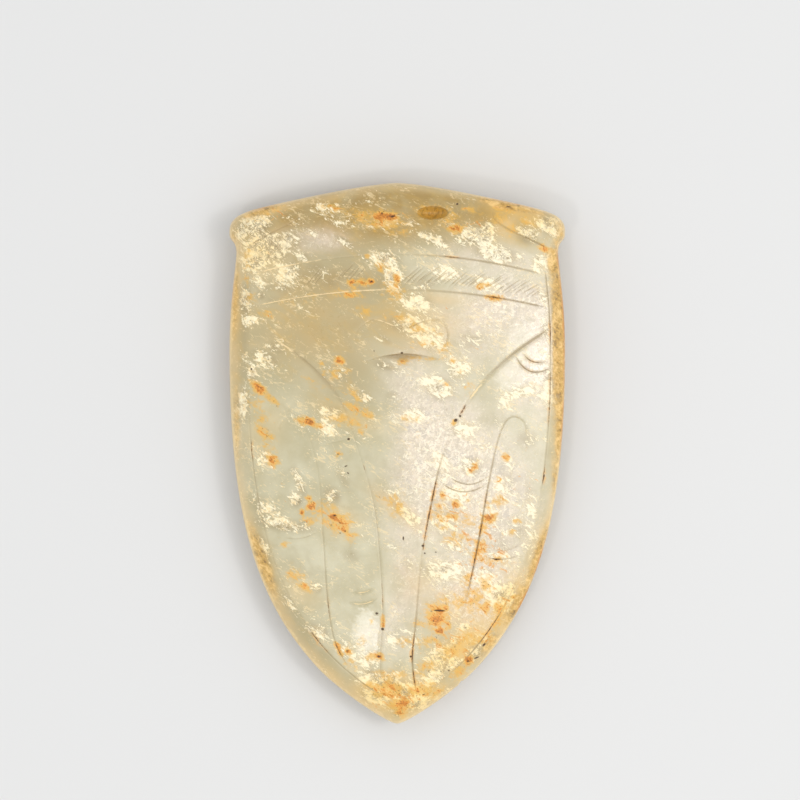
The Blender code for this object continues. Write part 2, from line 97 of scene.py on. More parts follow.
def half_outline():
    """The right half of the outline, from the front of the head to the tail tip."""
    side, hip, hip_level = WIDTH / 2, HIP_SPAN / 2, LENGTH - TAIL_LENGTH
    brow, neck = side - BROW_INSET, side - NECK_INSET
    turn = EYE_LEVEL + 0.4 * (NECK_LEVEL - EYE_LEVEL)
    flank, rear = WING_LEVEL - NECK_LEVEL, hip_level - WING_LEVEL
    into_tail = Vector((-math.sin(TAIL_ANGLE), -math.cos(TAIL_ANGLE)))
    front, brow_corner, eye_side = on_plan(0, 0), on_plan(brow, BROW_LEVEL), on_plan(side, EYE_LEVEL)
    notch_turn, neck_point = on_plan(side - 0.25 * NECK_INSET, turn), on_plan(neck, NECK_LEVEL)
    widest, hip_point, tip = on_plan(side, WING_LEVEL), on_plan(hip, hip_level), on_plan(0, LENGTH)
    into_turn = on_plan(side, turn - 0.25 * (turn - EYE_LEVEL))
    out_of_turn = on_plan(neck + 0.35 * NECK_INSET, turn + 0.2 * (NECK_LEVEL - turn))
    brow_handle = on_plan(0.7 * brow, 0.62 * BROW_LEVEL)
    neck_handle = on_plan(neck, NECK_LEVEL + 0.14 * flank)
    first_eye_handle = on_plan(brow + 0.65 * BROW_INSET, 1.29 * BROW_LEVEL)
    curves = [
        (front, on_plan(0.22 * brow, 0.02 * BROW_LEVEL), brow_handle, brow_corner),
        (brow_corner, first_eye_handle, on_plan(side, 0.6 * BROW_LEVEL + 0.4 * EYE_LEVEL), eye_side),
        (eye_side, on_plan(side, 0.6 * EYE_LEVEL + 0.4 * turn), into_turn, notch_turn),
        (notch_turn, out_of_turn, on_plan(neck, 0.5 * (NECK_LEVEL + turn)), neck_point),
        (neck_point, neck_handle, on_plan(side, WING_LEVEL - 0.52 * flank), widest),
        (widest, on_plan(side, WING_LEVEL + 0.486 * rear), hip_point - 0.305 * rear * into_tail, hip_point),
        (hip_point, hip_point + 0.6 * TAIL_LENGTH * into_tail, on_plan(TAIL_ROUNDING, LENGTH), tip),
    ]
    points = [front]
    for corners in curves:
        run = sum((there - here).length for here, there in zip(corners, corners[1:]))
        points += geometry.interpolate_bezier(*corners, max(5, round(run / OUTLINE_STEP) + 1))[1:]
    return np.array([(point[0], point[1]) for point in points])


def inward_normals(loop):
    along = np.roll(loop, -1, axis=0) - np.roll(loop, 1, axis=0)
    along /= np.hypot(*along.T)[:, None]
    return np.column_stack([-along[:, 1], along[:, 0]])


HALF_OUTLINE = half_outline()
OUTLINE = np.vstack([HALF_OUTLINE[1:] * (-1, 1), HALF_OUTLINE[-2::-1]])
INWARDS = inward_normals(OUTLINE)
CLOSED_OUTLINE = np.vstack([OUTLINE, OUTLINE[:1]])
print(f"the outline has {len(OUTLINE)} points")

# %% [markdown]
# ## Places and paths
# The carver's lines cross the back from edge to edge, so each place on them is given as a share of the
# half width there and a share of the length, as on the solid. A few places make a line, and Bezier
# spans between them keep it smooth. Two helpers then answer all questions about a line: how far a point
# is from it, and how far along it the nearest place lies.

# %% Helpers for paths
PATH_STEP = 0.25 * MM
SPAN_POINTS = 33
MOST_AT_ONCE = 4000


def half_width(y):
    return np.interp(-y, -HALF_OUTLINE[:, 1], HALF_OUTLINE[:, 0])


def front_edge(x):
    """The level of the head's front edge."""
    head = HALF_OUTLINE[HALF_OUTLINE[:, 1] > LENGTH / 2 - EYE_LEVEL]
    return LENGTH / 2 - np.interp(abs(x), *head.T)


def place(across, along):
    """A place on the plan, as a share of the half width there and a share of the length."""
    y = (0.5 - along) * LENGTH
    return Vector((across * half_width(min(y, LENGTH / 2 - EYE_LEVEL)), y))


def head_place(across, along):
    """A place on the head, as shares of its half width and of the way from its front edge to the neck."""
    x = across * WIDTH / 2
    return on_plan(x, front_edge(x) + along * (NECK_LEVEL - front_edge(x)))


def run_along(path):
    """How far along the path each of its points is."""
    return np.append(0, np.cumsum(np.hypot(*np.diff(path, axis=0).T)))


def even_steps(path):
    """The same path with evenly spaced points."""
    run = run_along(path)
    stops = np.linspace(0, run[-1], max(6, round(run[-1] / PATH_STEP) + 1))
    return np.column_stack([np.interp(stops, run, path[:, 0]), np.interp(stops, run, path[:, 1])])


def smooth_path(places, finder=place):
    """Evenly spaced points on a smooth curve through the given places."""
    points = [finder(*spot) for spot in places]
    padded = [2 * points[0] - points[1], *points, 2 * points[-1] - points[-2]]
    fine = [points[0]]
    for before, start, stop, after in zip(padded, padded[1:], padded[2:], padded[3:]):
        reach = (stop - start).length / 3
        first_handle = start + (stop - before).normalized() * reach
        second_handle = stop - (after - start).normalized() * reach
        fine += geometry.interpolate_bezier(start, first_handle, second_handle, stop, SPAN_POINTS)[1:]
    return even_steps(np.array([(point[0], point[1]) for point in fine]))


def measure_some(points, path):
    starts, steps = path[:-1], np.diff(path, axis=0)
    lengths = np.hypot(*steps.T)
    from_start = points[:, None] - starts
    share = np.clip((from_start * steps).sum(axis=2) / lengths**2, 0, 1)
    gaps = np.hypot(*np.moveaxis(from_start - share[..., None] * steps, 2, 0))
    nearest = gaps.argmin(axis=1)
    rows = np.arange(len(points))
    offset, step = from_start[rows, nearest], steps[nearest]
    side = np.sign(step[:, 0] * offset[:, 1] - step[:, 1] * offset[:, 0])
    return gaps[rows, nearest], run_along(path)[nearest] + share[rows, nearest] * lengths[nearest], side


def measure(points, path):
    """For each point: its distance from the path, the nearest place along it, and the side (+1 left)."""
    batches = np.array_split(points, len(points) // MOST_AT_ONCE + 1)
    return tuple(np.concatenate(answer) for answer in zip(*(measure_some(batch, path) for batch in batches)))


def inset_of(points):
    """How far each point is inside the outline."""
    return measure(points, CLOSED_OUTLINE)[0]


# %% [markdown]
# ## The cuts
# Every line was ground with a small wheel fed with sand, so it is a narrow trough that runs out at both
# ends. Some are slanted, with one steep and one gentle side. A cut is a kind and a path. The solid has
# sharp troughs of three edges. Here the same troughs get worn lips and a rounded floor, because the depth
# is read through a smooth curve. The kinds and the paths repeat the solid's own, in millimetres.

# %% Kinds of cut
LINE_RUN_OUT = 1.4 * MM
FINE_RUN_OUT = 1.0 * MM
# Left and right of its path, a cut takes these shares of its width, given once or at even steps along it.
# Wear is how far its profile is rounded, from a flat slant (0) to a soft trough (1). Press is how deep the
# cut still is, at even steps along its path.
Cut = namedtuple("Cut", "width depth run_out left right wear press", defaults=([0.5], [0.5], 1.0, [1.0]))
PLAIN = Cut(0.32 * MM, 0.13 * MM, LINE_RUN_OUT)
FINE = Cut(0.28 * MM, 0.10 * MM, FINE_RUN_OUT)
STROKE = Cut(0.21 * MM, 0.075 * MM, FINE_RUN_OUT)
NOTCH = Cut(1.40 * MM, 0.42 * MM, 3.6 * MM, [0.11], [0.89], 0.3)
VEIN = Cut(0.38 * MM, 0.15 * MM, LINE_RUN_OUT, [0.29, 0.42, 0.50, 0.31], [0.29, 0.42, 0.50, 0.31])
RIGHT_MARGIN = Cut(0.55 * MM, 0.17 * MM, LINE_RUN_OUT, [0.69, 0.62, 0.35, 0.41, 0.31], [0.31], 0.7)
LEFT_MARGIN = Cut(0.95 * MM, 0.14 * MM, 2.0 * MM, [0.16], [0.32, 0.44, 0.84, 0.32, *7 * [0.17]], 0.4)
BELLY_LINE = Cut(0.44 * MM, 0.20 * MM, LINE_RUN_OUT)

# %% Paths of the cuts on the back
RIGHT_BAND = 1.6 * MM
LEFT_BAND = 2.0 * MM
# A collar line crosses the ridge at a share of the length, bends towards the tail by another share at its
# sides, and ends at a share of the half width on the left and on the right.
COLLAR_FRONT = (0.134, 0.045, -0.885, 0.905)
COLLAR_REAR = (0.199, 0.040, -0.870, 0.905)
RIGHT_BORDER_REACH = (0.150, 0.930)
LEFT_BORDER_REACH = (0.250, 0.950)
RIGHT_EYE_LINE = [(0.56, 0.14), (0.58, 0.41), (0.75, 0.69), (0.92, 0.96)]
LEFT_EYE_LINE = [(-0.56, 0.12), (-0.58, 0.35), (-0.76, 0.63), (-0.91, 0.92)]
THORAX = [
    (-0.20, 0.318), (-0.25, 0.288), (-0.20, 0.262), (-0.13, 0.254), (0.00, 0.267),
    (0.07, 0.268), (0.16, 0.257), (0.25, 0.256), (0.30, 0.280), (0.26, 0.315),
]
SHOULDER = [(0.33, 0.278), (0.42, 0.285), (0.53, 0.285)]
NOTCH_PATH = [(-0.19, 0.331), (-0.07, 0.321), (0.04, 0.318), (0.14, 0.320), (0.25, 0.328)]
RIGHT_MARGIN_PATH = [
    (0.91, 0.268), (0.69, 0.315), (0.52, 0.364), (0.38, 0.425), (0.28, 0.499), (0.22, 0.584),
    (0.17, 0.690), (0.16, 0.817), (0.17, 0.880), (0.38, 0.945),
]
LEFT_MARGIN_PATH = [
    (-0.79, 0.276), (-0.62, 0.311), (-0.48, 0.347), (-0.34, 0.401), (-0.23, 0.499), (-0.15, 0.590),
    (-0.12, 0.690), (-0.12, 0.796), (-0.18, 0.870), (-0.29, 0.936),
]
RIGHT_VEIN = [
    (0.78, 0.472), (0.76, 0.442), (0.68, 0.433), (0.62, 0.462), (0.57, 0.550), (0.545, 0.660),
    (0.54, 0.766), (0.57, 0.855), (0.62, 0.918),
]
LEFT_VEIN = [
    (-0.71, 0.472), (-0.70, 0.443), (-0.63, 0.434), (-0.55, 0.457), (-0.49, 0.530), (-0.495, 0.660),
    (-0.545, 0.766), (-0.61, 0.845), (-0.61, 0.895),
]
# The small arcs of the wings: their press, the middle of each one's ends, its length, its sag and its turn.
SMALL_ARCS = [
    (1.0, 0.81, 0.329, 4.2 * MM, 1.2 * MM, math.radians(-18)),
    (1.0, 0.815, 0.320, 2.9 * MM, 0.65 * MM, math.radians(-20)),
    (0.4, -0.81, 0.329, 4.2 * MM, 1.2 * MM, math.radians(18)),
    (0.8, 0.41, 0.553, 5.1 * MM, 1.0 * MM, math.radians(-3)),
    (0.8, 0.44, 0.541, 4.3 * MM, 0.9 * MM, math.radians(0)),
    (0.5, 0.75, 0.671, 3.6 * MM, 0.35 * MM, math.radians(13)),
    (0.6, 0.725, 0.687, 4.2 * MM, 0.45 * MM, math.radians(2)),
    (0.5, -0.70, 0.621, 5.0 * MM, 0.8 * MM, math.radians(9)),
    (0.5, -0.65, 0.648, 4.0 * MM, 0.5 * MM, math.radians(8)),
    (0.7, -0.255, 0.750, 2.9 * MM, 0.3 * MM, math.radians(12)),
    (0.7, -0.27, 0.768, 3.5 * MM, 0.5 * MM, math.radians(8)),
]
# The collar's slanting strokes: where each starts on the rear line, how far it leans to the right, and
# the gaps that it keeps to the rear line and to the front line.
RIGHT_STROKES = np.linspace(0.00, 0.86, 31)
LEFT_STROKES = [-0.57, -0.545, -0.52, -0.40, -0.37, -0.345, -0.32, -0.27]
RIGHT_LEAN = 3.1 * MM
LEFT_LEAN = 2.4 * MM
RIGHT_GAPS = (0.25 * MM, 0.55 * MM)
LEFT_GAPS = (0.70 * MM, 0.30 * MM)
STROKE_JITTER = 0.35 * MM
STROKE_SEED = 5
SHORTEST_STROKE = 0.75
BOW_POINTS, ARC_POINTS, STROKE_POINTS = 81, 15, 8
BAND_CHANGE = 0.2 * WIDTH


def bow(middle, bend, left_end, right_end):
    """A line across the back that bends towards the tail at its sides."""
    shares = np.linspace(left_end, right_end, BOW_POINTS)
    return even_steps(np.array([place(share, middle + bend * share**2) for share in shares]))


def small_arc(across, along, length, sag, turn):
    middle = place(across, along)
    shares = np.linspace(-1, 1, ARC_POINTS)
    x, y = shares * length / 2, -sag * (1 - shares**2)
    return np.column_stack([
        middle.x + x * math.cos(turn) - y * math.sin(turn),
        middle.y + x * math.sin(turn) + y * math.cos(turn),
    ])


def strokes(starts, lean, gaps):
    """Slanting strokes from the rear collar line forwards to the front one, or to its end."""
    rear, front = bow(*COLLAR_REAR), bow(*COLLAR_FRONT)
    random = np.random.default_rng(STROKE_SEED)
    paths = []
    for start in starts:
        low_x = place(start, COLLAR_REAR[0]).x + random.uniform(-0.5, 0.5) * STROKE_JITTER
        low_y = np.interp(low_x, *rear.T) + gaps[0] + random.uniform(0, 1) * STROKE_JITTER
        rise = np.interp(low_x + lean, *front.T) - gaps[1] - low_y
        share = min(random.uniform(SHORTEST_STROKE, 1), (front[-1, 0] - low_x) / lean)
        end = (low_x + share * lean, low_y + share * rise)
        paths.append(np.linspace((low_x, low_y), end, STROKE_POINTS))
    return paths


def smooth_step(share):
    share = np.clip(share, 0, 1)
    return share**2 * (3 - 2 * share)


def band_width(points):
    """How wide the rim's band is: wider on the left, with a smooth change over the tail tip."""
    return LEFT_BAND + (RIGHT_BAND - LEFT_BAND) * smooth_step(0.5 + points[:, 0] / BAND_CHANGE)


def inset_loop(distances):
    """The outline moved inwards. Points that would cross over near a corner are left out."""
    moved = OUTLINE + np.reshape(distances, (-1, 1)) * INWARDS
    return moved[inset_of(moved) > 0.97 * np.ravel(distances)]


def border(reach, side):
    """The line where the band meets the back, on one side, between two shares of the length."""
    path = even_steps(inset_loop(band_width(OUTLINE)))
    along = 0.5 - path[:, 1] / LENGTH
    return path[(path[:, 0] * side > 0) & (along > reach[0]) & (along < reach[1])]


def pressed(kind, *press):
    return kind._replace(press=list(press))


BACK_CUTS = [
    (pressed(PLAIN, 0.3, 0.5, 0.4, 0.25, 0.3, 0.6, 0.8, 0.8, 0.6), bow(*COLLAR_FRONT)),
    (pressed(PLAIN, 0.5, 0.7, 0.6, 0.25, 0.3, 0.6, 0.8, 0.9, 0.8), bow(*COLLAR_REAR)),
    (pressed(PLAIN, 0.5, 0.6, 0.7, 0.9), smooth_path(RIGHT_EYE_LINE, head_place)),
    (pressed(PLAIN, 0.3, 0.5, 0.5, 0.6), smooth_path(LEFT_EYE_LINE, head_place)),
    (pressed(FINE, 0.2, 0.3, 0.4, 0.7, 0.4, 0.6, 0.7, 0.5, 0.6, 0.2), smooth_path(THORAX)),
    (pressed(FINE, 0.3, 0.2), smooth_path(SHOULDER)),
    (NOTCH, smooth_path(NOTCH_PATH)),
    (pressed(RIGHT_MARGIN, 1, 0.9, 0.5, 0.35, 0.3, 0.7, 0.9, 0.4, 0.5, 0.7, 0.8, 0.9),
     smooth_path(RIGHT_MARGIN_PATH)),
    (pressed(LEFT_MARGIN, 0.6, 0.7, 0.6, 0.4, 0.35, 0.5, 0.5, 0.5, 0.5, 0.5), smooth_path(LEFT_MARGIN_PATH)),
    (pressed(VEIN, 0.3, 0.5, 0.6, 0.8, 1, 0.9, 0.3, 0.15, 0.6), smooth_path(RIGHT_VEIN)),
    (pressed(PLAIN, 0.2, 0.3, 0.25, 0.3, 0.4, 0.5, 0.6, 0.6, 0.6), smooth_path(LEFT_VEIN)),
    (pressed(PLAIN, 1, 0.8, 0.6, 0.6, 0.35, 0.15, 0.5, 0.9, 0.15), border(RIGHT_BORDER_REACH, 1)[::-1]),
    (pressed(PLAIN, 0.2, 0.3, 0.6, 0.5, 0.4, 0.6, 0.8), border(LEFT_BORDER_REACH, -1)),
    *((pressed(FINE, press), small_arc(*arc)) for press, *arc in SMALL_ARCS),
    *((pressed(STROKE, 1, 0.8, 0.5), stroke) for stroke in strokes(RIGHT_STROKES, RIGHT_LEAN, RIGHT_GAPS)),
    *((pressed(STROKE, 0.8, 0.6), stroke) for stroke in strokes(LEFT_STROKES, LEFT_LEAN, LEFT_GAPS)),
]
cut_length = sum(run_along(path)[-1] for _, path in BACK_CUTS)
print(f"{len(BACK_CUTS)} cuts on the back, {cut_length / MM:.0f} mm in all")

# %% Paths of the cuts on the belly
MOUTH = [(0.42, 0.110), (0.21, 0.160), (0.11, 0.240), (0.06, 0.340)]
FOLDED_WING = [(0.65, 0.200), (0.61, 0.340), (0.58, 0.480), (0.54, 0.620), (0.46, 0.750), (0.30, 0.860)]
MIDLINE = [(0, 0.360), (0, 0.390), (0, 0.420)]
RING_COUNT = 5
FIRST_RING = 0.440
RING_GAP = 0.085
RING_BOW = 0.022
FIRST_REACH = 8.6 * MM
REACH_LOSS = 0.033
RING_POINTS = 33


def both_sides(places):
    return [smooth_path([(side * across, along) for across, along in places]) for side in (-1, 1)]


def abdomen_ring(number):
    shares = np.linspace(-1, 1, RING_POINTS)
    reach = FIRST_REACH * (1 - REACH_LOSS * number * (number + 1))
    along = FIRST_RING + number * RING_GAP + RING_BOW * (1 - shares**2)
    return even_steps(np.column_stack([shares * reach, (0.5 - along) * LENGTH]))


BELLY_PATHS = [
    *both_sides(MOUTH), *both_sides(FOLDED_WING), smooth_path(MIDLINE),
    *map(abdomen_ring, range(RING_COUNT)),
]
BELLY_CUTS = [(BELLY_LINE, path) for path in BELLY_PATHS]
print(f"{len(BELLY_CUTS)} cuts on the belly")

# %% [markdown]
# ## The heights
# The back is two long slopes that meet in a soft ridge, with one flat face ground across the front and a
# bevelled band inside the rim of the wings. The belly is flat inside a wide bevel. Both are heights over
# the plan, so any point of the fine skin can be lifted exactly onto them. On top of that comes what no
# solid needs: the slow waves that hand polishing leaves, which make the glints wander.

# %% Heights of the back and the belly
CROWN_HEIGHT = 8.5 * MM
CROWN_LEVEL = 17.0 * MM
RIDGE_OFFSET = 0.4 * MM
RIDGE_SOFTNESS = 1.1 * MM
SIDE_FALL = 2.3 * MM
SIDE_SAG = 1.2 * MM
TAIL_FALL = 3.4 * MM
HEAD_FALL = 0.4 * MM
BROW_TOP = 4.8 * MM
FACE_ANGLE = math.radians(26)
FACE_BLEND = 0.4 * MM
EYE_RISE = 0.5 * MM
EYE_RADIUS = 3.1 * MM
EYE_INSET = 2.9 * MM
BAND_FALL = 0.75 * MM
EDGE_ROUNDING = 0.45 * MM
BROW_BOTTOM = 1.7 * MM
WING_BOTTOM = 2.4 * MM
BELLY_BEVEL = 4.5 * MM
PIT_ACROSS = 3.8 * MM
PIT_LEVEL = 3.3 * MM
PIT_LENGTH = 3.4 * MM
PIT_WIDTH = 1.5 * MM
PIT_DEPTH = 1.1 * MM
PIT_STEEPNESS = 0.8
PIT_TILT = 0.35
WAVE_COUNT = 14
WAVE_LENGTHS = (3.5 * MM, 11.0 * MM)
WAVE_SLOPE = 0.006
WAVE_SEED = 11


def reach_of(cut, shares, distance, total):
    """How wide the cut is on one side of its path, at a distance along it."""
    return cut.width * np.interp(distance / total, np.linspace(0, 1, len(shares)), shares)


def near(points, cut, path):
    """Which points may lie in the cut: a quick test on a grid whose squares are as large as its reach."""
    square = cut.width * max(*cut.left, *cut.right, 0.5) + PATH_STEP / 2
    count = 2 * math.ceil(0.6 * LENGTH / square)
    passed = np.zeros((count, count), bool)
    for shift in product((-1, 0, 1), repeat=2):
        passed[tuple((path // square).astype(int).T + count // 2 + np.reshape(shift, (2, 1)))] = True
    return passed[tuple((points // square).astype(int).T + count // 2)]


def cut_share(cut, path, points):
    """How far down each point is in the cut: 0 outside it, 1 on its floor."""
    gap, distance, side = measure(points, path)
    total = run_along(path)[-1]
    left, right = (reach_of(cut, shares, distance, total) for shares in (cut.left, cut.right))
    ends = np.clip(np.minimum(distance, total - distance) / cut.run_out, 0, 1)
    share = np.clip(ends - gap / np.where(side > 0, left, right), 0, 1)
    press = np.interp(distance / total, np.linspace(0, 1, len(cut.press)), cut.press)
    return press * (share + cut.wear * (smooth_step(share) - share))


def cut_depth(points, cuts):
    """How deep the deepest of the cuts is at each point."""
    deepest = np.zeros(len(points))
    for cut, path in cuts:
        close = near(points, cut, path)
        if close.any():
            deepest[close] = np.maximum(deepest[close], cut.depth * cut_share(cut, path, points[close]))
    return deepest


def pit_depth(points):
    """An oval pit, deeper on the side towards the tail."""
    across = (points[:, 0] - PIT_ACROSS) / (PIT_LENGTH / 2)
    along = (points[:, 1] - (LENGTH / 2 - PIT_LEVEL)) / (PIT_WIDTH / 2)
    hollow = np.clip(1 - across**2 - along**2, 0, 1)
    return PIT_DEPTH * hollow**PIT_STEEPNESS * (1 - PIT_TILT * along)


def smaller(first, second, blend):
    """The smaller of two heights, with the corner between them rounded."""
    overlap = np.maximum(blend - np.abs(first - second), 0)
    return np.minimum(first, second) - overlap**2 / (4 * blend)


def behind_neck(points):
    """0 on the head, 1 on the wings, with a smooth change behind the neck."""
    level = LENGTH / 2 - points[:, 1]
    return smooth_step((level - 0.9 * NECK_LEVEL) / (0.5 * NECK_LEVEL))


def polish_waves(points):
    """Slow waves in many directions, as steep as each other."""
    random = np.random.default_rng(WAVE_SEED)
    height = np.zeros(len(points))
    for _ in range(WAVE_COUNT):
        turn, phase = random.uniform(0, 2 * math.pi, 2)
        length = random.uniform(*WAVE_LENGTHS) / (2 * math.pi)
        run = points[:, 0] * math.cos(turn) + points[:, 1] * math.sin(turn)
        height += WAVE_SLOPE / math.sqrt(WAVE_COUNT) * length * np.sin(run / length + phase)
    return height


def plain_back(points):
    """The back's height before it was engraved."""
    x, level, inset = points[:, 0], LENGTH / 2 - points[:, 1], inset_of(points)
    side, softness = np.abs(x - RIDGE_OFFSET) / (WIDTH / 2), RIDGE_SOFTNESS / (WIDTH / 2)
    tailwards = np.clip((level - CROWN_LEVEL) / (LENGTH - CROWN_LEVEL), 0, 1)
    headwards = np.clip((CROWN_LEVEL - level) / CROWN_LEVEL, 0, 1)
    roof = CROWN_HEIGHT - SIDE_FALL * (np.hypot(side, softness) - softness) - SIDE_SAG * side**2
    roof -= TAIL_FALL * tailwards**2 + HEAD_FALL * headwards**2
    face = BROW_TOP + math.tan(FACE_ANGLE) * level
    band = np.clip(1 - (inset - EDGE_ROUNDING) / (band_width(points) - EDGE_ROUNDING), 0, 1)
    from_eye = np.hypot(np.abs(x) - (WIDTH / 2 - EYE_INSET), level - EYE_LEVEL) / EYE_RADIUS
    eye = EYE_RISE * np.clip(1 - from_eye**2, 0, 1) ** 2 * smooth_step((inset - EDGE_ROUNDING) / EYE_RISE)
    return smaller(roof, face, FACE_BLEND) - BAND_FALL * behind_neck(points) * band + eye


def back(points):
    carved = np.maximum(cut_depth(points, BACK_CUTS), pit_depth(points))
    return plain_back(points) - carved + polish_waves(points)


def belly(points):
    """The underside's height: flat in the middle, bevelled up to the rim."""
    rim = BROW_BOTTOM + (WING_BOTTOM - BROW_BOTTOM) * behind_neck(points)
    bevel = rim * np.clip(1 - (inset_of(points) - EDGE_ROUNDING) / BELLY_BEVEL, 0, 1)
    return bevel + cut_depth(points, BELLY_CUTS)


# %% [markdown]
# ## Stains, flecks and dirt
# Among the clouds, the glowing one is a painted glow where the stone is thin, with yellow stain.
# The stone's colour is a map of its long burial: chalky flecks where the surface decayed, russet where
# iron soaked in along cracks, milky and yellow clouds, an amber stain along the rim, and black specks.
# Each is a small oval with a place, a size, a turn and a strength. The places are read off the
# photograph, which looks straight down, as its columns and rows. All sizes here are in its pixels, and
# one pixel is about a tenth of a millimetre.

# %% Where the photograph's pixels lie on the plan
PIXEL = 0.10681 * MM
MIDDLE_COLUMN = 397.25
FRONT_ROW = 182.0


def seen_at(column, row):
    """The place on the plan that the photograph shows at this pixel."""
    return ((column - MIDDLE_COLUMN) * PIXEL, LENGTH / 2 - (row - FRONT_ROW) * PIXEL)


# A stain: the column and row of its middle, half its length and half its width, the turn of its length
# (degrees, anticlockwise from the right), and its strength.
Stain = namedtuple("Stain", "column row reach breadth turn strength")


def spread(points, stains, gather=np.maximum):
    """How strong the stains are at each point, where they meet the stronger one, or their sum."""
    total = np.zeros(len(points))
    for stain in map(Stain._make, stains):
        offset = points - seen_at(stain.column, stain.row)
        turn = math.radians(stain.turn)
        along = (offset[:, 0] * math.cos(turn) + offset[:, 1] * math.sin(turn)) / (stain.reach * PIXEL)
        across = (offset[:, 1] * math.cos(turn) - offset[:, 0] * math.sin(turn)) / (stain.breadth * PIXEL)
        total = gather(total, stain.strength * np.exp(-(along**2 + across**2)))
    return total


# %% Chalky crust and flecks
CHALK = [
    # The left eye and shoulder, and the left of the collar
    (256, 225, 18, 11, 10, 1.05), (242, 232, 8, 9, 0, 0.75), (268, 246, 24, 15, -15, 1.1),
    (255, 262, 14, 10, 10, 0.95), (290, 240, 14, 9, -30, 0.8), (288, 272, 17, 9, 35, 0.75),
    (300, 258, 12, 8, 0, 0.55), (244, 300, 8, 16, 0, 0.8), (248, 322, 9, 8, 0, 0.6),
    (261, 295, 6, 6, 0, 0.7), (262, 284, 14, 9, -20, 0.55), (285, 286, 14, 6, 10, 0.55),
    (318, 270, 16, 9, -20, 0.45), (330, 283, 14, 6, 0, 0.4), (272, 300, 12, 6, 0, 0.4),
    # The left wing
    (264, 358, 18, 9, -20, 0.62), (276, 348, 9, 7, -30, 0.6), (252, 373, 6, 8, 0, 0.85),
    (243, 404, 8, 17, 0, 0.7), (266, 458, 9, 8, -35, 0.7), (300, 484, 6, 22, 20, 0.62),
    (296, 500, 8, 9, 0, 0.75), (332, 495, 12, 9, -30, 0.7), (283, 525, 36, 8, -8, 0.72),
    (262, 510, 10, 20, 25, 0.55), (330, 413, 14, 9, 10, 0.62), (327, 428, 10, 6, -35, 0.7),
    (344, 478, 8, 18, 20, 0.45), (318, 632, 15, 8, -25, 0.72), (262, 548, 7, 20, 18, 0.62),
    (316, 588, 9, 6, -25, 0.6), (289, 604, 6, 14, 30, 0.5), (346, 650, 12, 9, 0, 0.55),
    (351, 555, 14, 10, -20, 0.45),
    # The brow and the head's middle
    (324, 209, 14, 6, 0, 0.32), (338, 224, 13, 5, -10, 0.5), (314, 234, 5, 4, 0, 0.7),
    (344, 242, 12, 4, -35, 0.75), (390, 222, 12, 6, -10, 0.7), (408, 222, 14, 7, -25, 0.45),
    (385, 259, 16, 9, -15, 0.8), (393, 278, 9, 12, 0, 0.85), (435, 240, 18, 6, -25, 0.7),
    (360, 202, 16, 4, 0, 0.35),
    # The right of the head
    (476, 236, 22, 13, 5, 0.85), (487, 234, 8, 14, 0, 0.95), (495, 254, 26, 10, -15, 0.8),
    (527, 236, 12, 9, -25, 0.85), (552, 224, 14, 12, -10, 0.85), (540, 262, 10, 10, -40, 0.6),
    (446, 275, 16, 8, 20, 0.6), (482, 283, 16, 8, 0, 0.62), (425, 285, 20, 8, 10, 0.45),
    # The thorax
    (418, 303, 18, 9, -8, 0.7), (410, 326, 24, 10, -8, 0.78), (428, 342, 14, 10, 0, 0.6),
    (385, 366, 16, 6, -15, 0.6), (384, 340, 12, 5, -25, 0.5), (470, 340, 20, 14, -20, 0.4),
    (392, 395, 10, 6, 0, 0.45), (366, 397, 10, 5, -35, 0.6),
    # The right wing
    (440, 388, 18, 14, -20, 0.75), (458, 372, 14, 14, 0, 0.6), (415, 415, 13, 8, 0, 0.6),
    (462, 430, 16, 12, 0, 0.5), (470, 466, 14, 12, 0, 0.62), (527, 440, 16, 14, -10, 0.45),
    (440, 470, 20, 22, 10, 0.35), (446, 520, 18, 26, 10, 0.45), (508, 480, 14, 20, 10, 0.4),
    (520, 530, 16, 20, 10, 0.45), (444, 570, 24, 10, 0, 0.72), (500, 596, 14, 13, 0, 0.85),
    (486, 578, 10, 12, 0, 0.6), (512, 616, 12, 8, 60, 0.7), (465, 627, 5, 3, 10, 0.95),
    (440, 658, 14, 10, 0, 0.62), (410, 565, 6, 10, 0, 0.4), (455, 545, 14, 10, 0, 0.5),
    (549, 385, 7, 26, 0, 0.62), (546, 330, 8, 22, 0, 0.5), (520, 392, 20, 7, 20, 0.55),
    (545, 296, 8, 12, 0, 0.5), (500, 545, 20, 26, 10, 0.4), (530, 500, 10, 30, 5, 0.4),
    (455, 495, 20, 12, 0, 0.45), (495, 420, 26, 14, 0, 0.35),
    # The tail
    (385, 682, 24, 9, -15, 1.0), (402, 692, 22, 10, 0, 0.85), (436, 676, 18, 8, 30, 0.7),
    (475, 652, 14, 10, 45, 0.6), (392, 678, 9, 6, 0, 1.0), (440, 655, 12, 9, 30, 0.8),
    (452, 664, 9, 6, 20, 0.85), (412, 640, 9, 14, 10, 0.4), (508, 592, 10, 12, -30, 0.75),
    (455, 640, 8, 5, 0, 0.6), (395, 640, 10, 8, 0, 0.5), (368, 660, 12, 8, 0, 0.6),
    (404, 512, 26, 7, -38, 0.55), (378, 697, 18, 9, 0, 0.8), (418, 704, 20, 8, 10, 0.7),
    (452, 690, 14, 7, 30, 0.5), (528, 588, 8, 18, -25, 0.6), (372, 676, 14, 7, -30, 0.7),
]

